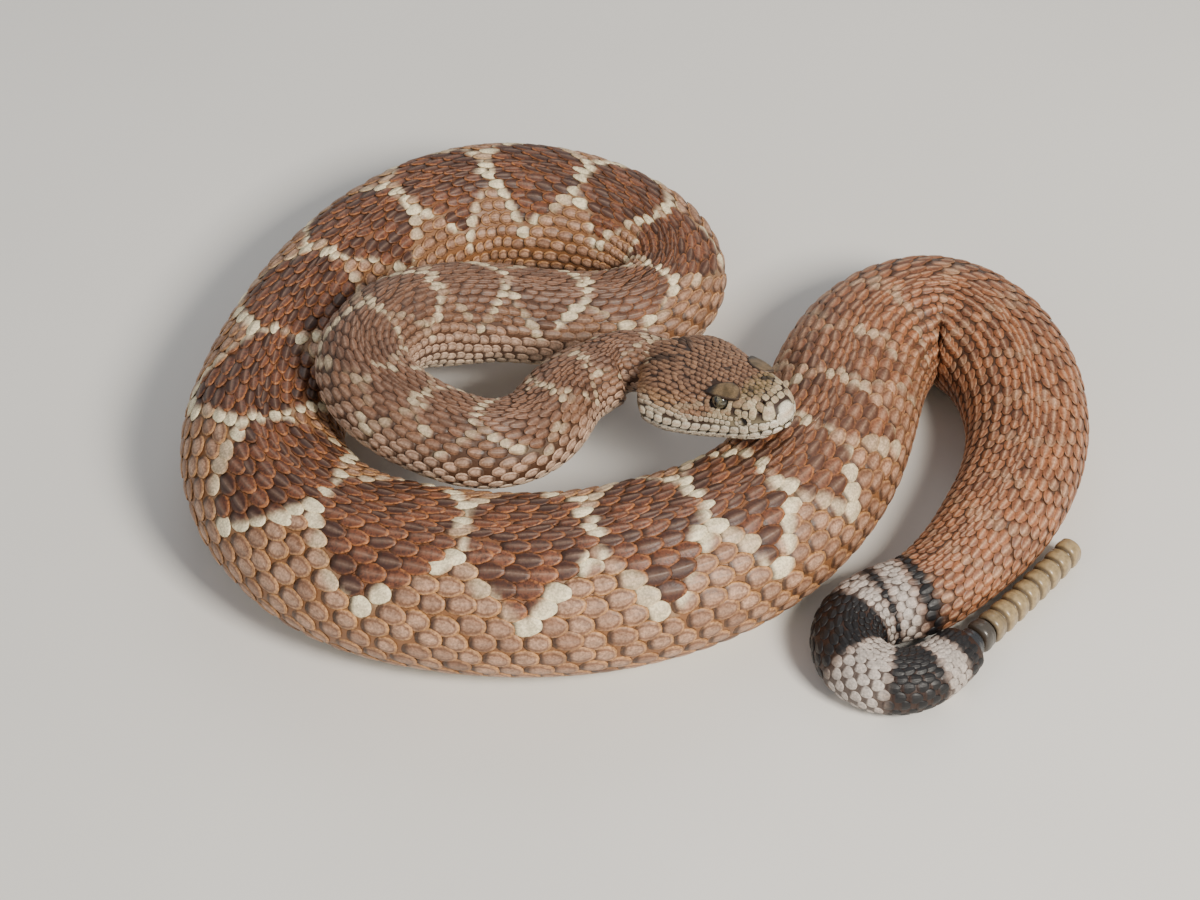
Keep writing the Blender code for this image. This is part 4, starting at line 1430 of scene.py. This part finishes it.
    def brow_plate(self, side: int) -> LaidScales:
        """Shape the broad plate over one eye, its outer edge standing over the eye."""
        form = self.form
        s, w, rim = self.brow_form.grid()
        long, wide, thick = form.brow_size
        half = smooth_profile(self.brow_outline, s)
        across = wide * (w * half + 0.55 * side * (1 - half))
        height = 0.5 * thick * (1 - 0.6 * w ** 2 - 0.7 * (2 * s - 1) ** 2) - 0.35 * rim
        height += 0.25 * smoothstep(0.2, 0.9, side * w) * (1 - rim)
        height[-1] = -1.0
        spin = Matrix.Rotation(-side * form.brow_splay, 3, "Z")
        spin = np.array(spin @ Matrix.Rotation(-side * (form.brow_tilt + self.brow_droop), 3, "X"))
        local = np.stack([-long * (2 * s - 1), across, height], axis=-1)
        centre = np.array((-form.brow[0], side * form.brow[1], form.brow[2] - self.brow_sink))
        pose = head_pose()
        points = (local @ spin.T + centre) @ pose[:3, :3].T + pose[:3, 3]
        edge = np.maximum(np.abs(w) ** 3, np.abs(2 * s - 1) ** 4)
        at = np.full((1, len(s)), form.brow[0] - HEAD_LENGTH)
        patch = unwrap(at[:, 0], np.array([-0.3 * side]))
        patch = patch + BROW_PATCH * np.stack([s - 0.5, w / 2], -1)
        return LaidScales(self.brow_form, points[None], at, at * 0, edge[None], 0 * edge[None],
                          s[None], np.full((1, 1), self.brow_shade), patch[None])

    def channels(self, laid: LaidScales, brow: bool = False) -> dict[str, Array]:
        """Return the colour channels of the head's scales from where they lie."""
        b, out, z = self.in_head(laid.points)
        mb, mout, mz = (value.mean(axis=1, keepdims=True) + 0 * b for value in (b, out, z))
        shape = b.shape
        mouth = smooth_profile(self.form.mouth, mb)
        face = smoothstep(19.0, 13.5, mb + 0.8 * mz - 4) * smoothstep(8.8, 7.6, mz)
        lip = smoothstep(5.6, 3.0, mz - mouth) * smoothstep(44, 36, mb)
        stripe = smoothstep(1.3, 0.5, np.abs(mz - 6.0 + (mb - 18) * 0.34)) * smoothstep(16, 19, mb)
        stripe = stripe * smoothstep(36, 28, mb) * 0.45
        pale = np.maximum(np.maximum(face, 0.85 * lip), stripe)
        throat = smoothstep(0.3, -1.0, mz - mouth)
        white = np.maximum(throat, 0.6 * lip) + 0.35 * face * smoothstep(3.5, 0.5, mb)
        temple = smoothstep(7.0, 3.5, mz) * smoothstep(24, 31, mb) * (1 - lip)
        olive = smoothstep(13.5, 10.0, mb) * smoothstep(6.6, 8.0, mz)
        nape = smoothstep(2.4, 1.0, np.abs(mout - 4.2 - 0.35 * (mb - 38))) * smoothstep(34, 39, mb)
        mid = smoothstep(1.6, 0.6, np.hypot(mb - 19.5, 1.2 * mout))
        front = smoothstep(1.5, 0.6, np.hypot(mb - 9.0, mout - 3.6))
        dark = np.maximum(np.maximum(0.75 * nape, 0.9 * mid), 0.85 * front) * smoothstep(6, 8, mz)
        line = np.full(shape, 0.85)
        if brow:
            pale, white, temple = pale * 0, white * 0, temple * 0
            olive = 0.7 * np.ones(shape)
            dark = np.maximum(smoothstep(0.6, 0.9, laid.run), 0.15)
        marks = np.stack([temple, pale, dark, np.clip(white, 0, 1)], axis=-1)
        place = np.stack([laid.edge, laid.ridge, laid.shade + 0 * b, 0 * b], axis=-1)
        bands = np.stack([0 * b, 0 * b, olive, line], axis=-1)
        return {"marks": marks, "place": place, "bands": bands}

    def build(self, material: bpy.types.Material) -> list[Item]:
        """Build the coat of the head: small scales, face plates and brow plates."""
        made = []
        laid = self.small_scales().lay(self.hide)
        made.append(laid.mesh("head_scales", self.channels(laid)))
        laid = self.snout_plates().lay(self.hide)
        made.append(laid.mesh("snout_plates", self.channels(laid)))
        for side, suffix in ((1, "left"), (-1, "right")):
            face = FaceMap(self.form, side, self.inset)
            laid = self.face_plates(face).lay(face)
            made.append(laid.mesh(f"face_plates_{suffix}", self.channels(laid), flip=side < 0))
            laid = self.brow_plate(side)
            made.append(laid.mesh(f"brow_plate_{suffix}", self.channels(laid, True), flip=True))
        for item in made:
            item.data.materials.append(material)
        return made


@dataclass
class Eye:
    """One eye: a glossy ball with an upright slit of a pupil."""

    form: HeadForm
    side: int
    pupil: tuple[float, float] = (0.42, 1.75)

    def build(self) -> Item:
        """Build the ball, its pole turned outward."""
        suffix = "left" if self.side > 0 else "right"
        radius = self.form.eye_radius * MM
        bpy.ops.mesh.primitive_uv_sphere_add(segments=40, ring_count=28, radius=radius)
        ball = bpy.context.object
        ball.name = f"eye_ball_{suffix}"
        ball.data.shade_smooth()
        back, out, up = self.form.eye
        place = Vector((-back, self.side * out, up)) * MM
        aim = Matrix.Rotation(-self.side * math.radians(80), 4, "X")
        pose = head_pose()
        pose[:3, 3] *= MM
        ball.data.transform(Matrix(pose) @ Matrix.Translation(place) @ aim)
        ball.data.uv_layers[0].name = "OFBake"
        iris = ball.data.color_attributes.new(name="iris", type="FLOAT_COLOR", domain="POINT")
        bpy.context.view_layer.update()
        centre = Matrix(pose) @ place
        turn = (Matrix(pose) @ aim).to_3x3().inverted()
        values = []
        for corner in ball.data.vertices:
            local = turn @ (corner.co - centre) / MM
            slit = (local.x / self.pupil[0]) ** 2 + (local.y / self.pupil[1]) ** 2
            away = math.hypot(local.x, local.y) / self.form.eye_radius
            values += [min(slit / 4, 1), away, 0.5, 1]
        iris.data.foreach_set("color", values)
        return ball

    @staticmethod
    def finish() -> bpy.types.Material:
        """Make the dark olive iris with gold flecks, the black slit and the wet gloss."""
        r = Recipe("eye_gloss")
        slit, away, _, _ = r.channels("iris")
        flecks = r.ramp(r.noise(2600, 5), 0.45, 0.7)
        iris = r.mix(flecks, (0.055, 0.05, 0.032), (0.24, 0.20, 0.11))
        iris = r.mix(r.ramp(away, 0.72, 0.95), iris, (0.02, 0.018, 0.014))
        colour = r.mix(r.ramp(slit, 0.22, 0.30), (0.004, 0.004, 0.004), iris)
        return r.finish(colour, 0.12, Coat_Weight=1.0, Coat_Roughness=0.03)


@dataclass(frozen=True)
class Rattle:
    """The black base and the string of hollow horn segments, each gripping the last."""

    line: BodyLine
    heading: float = math.radians(44.5)
    start_offset: float = 0.6
    curve: float = math.radians(0.13)
    pitch: float = 5.15
    segments: int = 9
    half_width: tuple[float, float] = (4.9, 4.3)
    half_height: tuple[float, float] = (5.2, 4.6)
    sides: int = 48
    groove: float = 0.105
    lobe: Stations = ((0.0, 0.70), (0.05, 0.86), (0.16, 0.97), (0.3, 1.0), (0.5, 0.985),
                      (0.66, 0.93), (0.76, 0.94), (0.87, 0.86), (0.96, 0.72), (1.0, 0.70))

    def ring(self, distance: float, size: float) -> Array:
        """Return one section across the rattle at a distance along it."""
        begin = self.line.points[-1]
        heading = self.heading + self.curve * distance / 2
        centre = np.array((begin[0] + distance * math.cos(heading),
                           begin[1] + distance * math.sin(heading),
                           self.half_height[0] * 0.99))
        turn = self.heading + self.curve * distance
        left = np.array((-math.sin(turn), math.cos(turn), 0.0))
        share = distance / ((self.segments + 1) * self.pitch)
        width = size * (self.half_width[0] + share * (self.half_width[1] - self.half_width[0]))
        height = size * (self.half_height[0] + share * (self.half_height[1] - self.half_height[0]))
        angle = 2 * math.pi * np.arange(self.sides) / self.sides
        out = width * (1 - self.groove * np.cos(angle) ** 6) * np.cos(angle)
        rise = height * np.sin(angle)
        return centre + out[:, None] * left + rise[:, None] * np.array((0.0, 0.0, 1.0))

    def build(self, name: str, first: int, last: int) -> Item:
        """Build a run of segments as one closed shell."""
        rings = []
        marks = []
        for segment in range(first, last):
            start = self.start_offset + segment * self.pitch + (GAP if segment == first else 0)
            shares = np.linspace(0, 0.965, 18)
            for share in shares:
                size = float(smooth_profile(self.lobe, share))
                rings.append(self.ring(start + share * self.pitch, size))
                marks.append((share, segment / 10))
        tail = rings[-1].mean(axis=0)
        axis = unit(rings[-1].mean(axis=0) - rings[-3].mean(axis=0))
        for share in (0.85, 0.55):
            ring = rings[-1] - rings[-1].mean(axis=0)
            rings.append(tail + ring * share + axis * 0.5 * (1 - share))
            marks.append((1.0, (last - 1) / 10))
        points = np.array(rings)
        count, sides = points.shape[:2]
        j, k = np.meshgrid(np.arange(count - 1), np.arange(sides), indexing="ij")
        j, k = j.ravel(), k.ravel()
        after = (k + 1) % sides
        quads = np.stack([j * sides + k, j * sides + after, (j + 1) * sides + after,
                          (j + 1) * sides + k], axis=1)
        ends = [np.arange(sides)[::-1], (count - 1) * sides + np.arange(sides)]
        loops = np.concatenate([quads.ravel(), *ends])
        totals = np.concatenate([np.full(len(quads), 4), [sides, sides]])
        run = np.repeat(np.array([mark[0] for mark in marks]), sides)
        part = np.repeat(np.array([mark[1] for mark in marks]), sides)
        wear = np.stack([run, part, 0 * run, 0 * run + 1], axis=-1)
        column = np.concatenate([np.stack([k, k + 1, k + 1, k], axis=1).ravel(),
                                 np.arange(sides), np.arange(sides)])
        patch = np.stack([column / sides, (loops // sides) / count], axis=-1)
        return joined_mesh(name, points.reshape(-1, 3), loops, totals, {"wear": wear}, patch)

    @staticmethod
    def finish(name: str, horn: Triple, dark: Triple,
               roughness: float) -> bpy.types.Material:
        """Make polished horn, with painted shade in the grooves between the segments."""
        r = Recipe(name)
        run, part, _, _ = r.channels("wear")
        streak = r.noise(700, 5)
        # Painted shade: both ends of each segment, where it nests in its neighbour, are darkened.
        groove = r.math("MAXIMUM", r.ramp(run, 0.16, 0.0), r.ramp(run, 0.72, 0.97))
        colour = r.mix(r.ramp(streak, 0.3, 0.75), horn, tuple(0.62 * value for value in horn))
        first = r.ramp(part, 0.26, 0.12)
        colour = r.wash(colour, (0.030, 0.032, 0.036), first, 0.9)
        colour = r.wash(colour, dark, groove, 0.85)
        r.bump(r.noise(1500, 4), 0.2, 0.00015)
        return r.finish(colour, r.ramp(streak, 0.2, 0.8, roughness, roughness + 0.15),
                        Coat_Weight=0.25, Coat_Roughness=0.2)


def add_studio() -> None:
    """Lay the pale floor, hang the soft lights and set up the camera."""
    bpy.ops.mesh.primitive_plane_add(size=6.0, location=(0.0, 0.0, -0.0002))
    floor = bpy.context.object
    floor.name = "floor"
    r = Recipe("floor_paper")
    tint = r.mix(r.ramp(r.noise(6, 3), 0.3, 0.7), (0.80, 0.78, 0.74), (0.84, 0.82, 0.78))
    floor.data.materials.append(r.finish(tint, 0.85))
    world = bpy.data.worlds.new("studio")
    world.use_nodes = True
    sky = world.node_tree.nodes["Background"]
    sky.inputs[0].default_value = (0.93, 0.96, 1.0, 1.0)
    sky.inputs[1].default_value = 0.34
    bpy.context.scene.world = world
    lamps = (
        ("key", (0.64, -0.74, 0.92), 0.35, 23.0, (1.0, 0.94, 0.85)),
        ("fill", (-0.9, -0.7, 0.8), 1.2, 2.5, (0.9, 0.95, 1.0)),
        ("back", (0.1, 1.1, 0.9), 0.9, 3.5, (1.0, 0.98, 0.95)),
    )
    for name, place, size, power, colour in lamps:
        light = bpy.data.lights.new(name, "AREA")
        light.size = size
        light.energy = power
        light.color = colour
        lamp = bpy.data.objects.new(name, light)
        lamp.location = place
        lamp.rotation_mode = "QUATERNION"
        lamp.rotation_quaternion = (-Vector(place)).to_track_quat("-Z", "Y")
        bpy.context.collection.objects.link(lamp)
    eye = bpy.data.cameras.new("camera")
    eye.sensor_width = 36.0
    eye.lens = 105.0
    camera = bpy.data.objects.new("camera", eye)
    elevation = math.radians(48.0)
    distance = 1.05
    behind = distance * math.cos(elevation)
    camera.location = (-0.0111, -0.0015 - behind, distance * math.sin(elevation))
    camera.rotation_euler = (math.pi / 2 - elevation, 0.0, 0.0)
    bpy.context.collection.objects.link(camera)
    bpy.context.scene.camera = camera


FLESH = (
    "head", "lower_jaw", "neck", "forebody_bend", "forebody_coil", "forebody_turn",
    "midbody_inner", "midbody_back", "midbody_left", "midbody_corner", "midbody_front",
    "midbody_right", "hindbody_rise", "hindbody_loop", "hindbody_side", "hindbody_end",
    "tail_root", "tail_tip",
)


def main() -> None:
    """Build every piece in order and report it."""
    logging.basicConfig(level=logging.INFO, format="%(name)s: %(message)s")
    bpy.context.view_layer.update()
    add_studio()
    line = BodyLine()
    form = HeadForm()
    hide = Hide(line, form, COAT_HEAD_STEP, BODY_STEP, inset=SKIN_INSET)
    coat = Coat(hide, Markings())
    skin_hide = Hide(line, form, SKIN_HEAD_STEP, BODY_STEP, inset=SKIN_INSET, sculpt=form.sculpt)
    skin = Skin(skin_hide, coat, form).build(ScaleFinish("skin", kind=Shade.SKIN).make())
    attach(skin, BODY)
    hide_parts(*FLESH)
    LOG.info("skin: %d corners", len(skin.data.vertices))
    for item in coat.build(ScaleFinish("scales").make()):
        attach(item, BODY)
        LOG.info("%s: %d faces", item.name, len(item.data.polygons))
    head = HeadCoat(hide, form, SKIN_INSET)
    for item in head.build(HeadFinish("head_scales").make()):
        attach(item, BODY)
        LOG.info("%s: %d faces", item.name, len(item.data.polygons))
    gloss = Eye.finish()
    for side, suffix in ((1, "left"), (-1, "right")):
        ball = Eye(form, side).build()
        ball.data.materials.append(gloss)
        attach(ball, BODY)
        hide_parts(f"eye_{suffix}")
    rattle = Rattle(line)
    base = rattle.build("rattle_base_cap", 0, 1)
    # The second colour is the painted shade in the grooves between segments.
    black = Rattle.finish("black_horn", (0.02, 0.024, 0.03), (0.006, 0.006, 0.008), 0.22)
    base.data.materials.append(black)
    string = rattle.build("rattle_string", 1, rattle.segments + 1)
    # The second colour is the painted shade in the grooves between segments.
    pale = Rattle.finish("pale_horn", (0.42, 0.30, 0.15), (0.06, 0.04, 0.025), 0.26)
    string.data.materials.append(pale)
    for item, node, slot in (
        (base, "rattle_base", "rattle_black"),
        (string, "rattle", "rattle_horn"),
    ):
        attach(item, BODY)
        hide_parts(node)
        LOG.info("%s: %d faces", item.name, len(item.data.polygons))


if __name__ == "__main__":
    main()
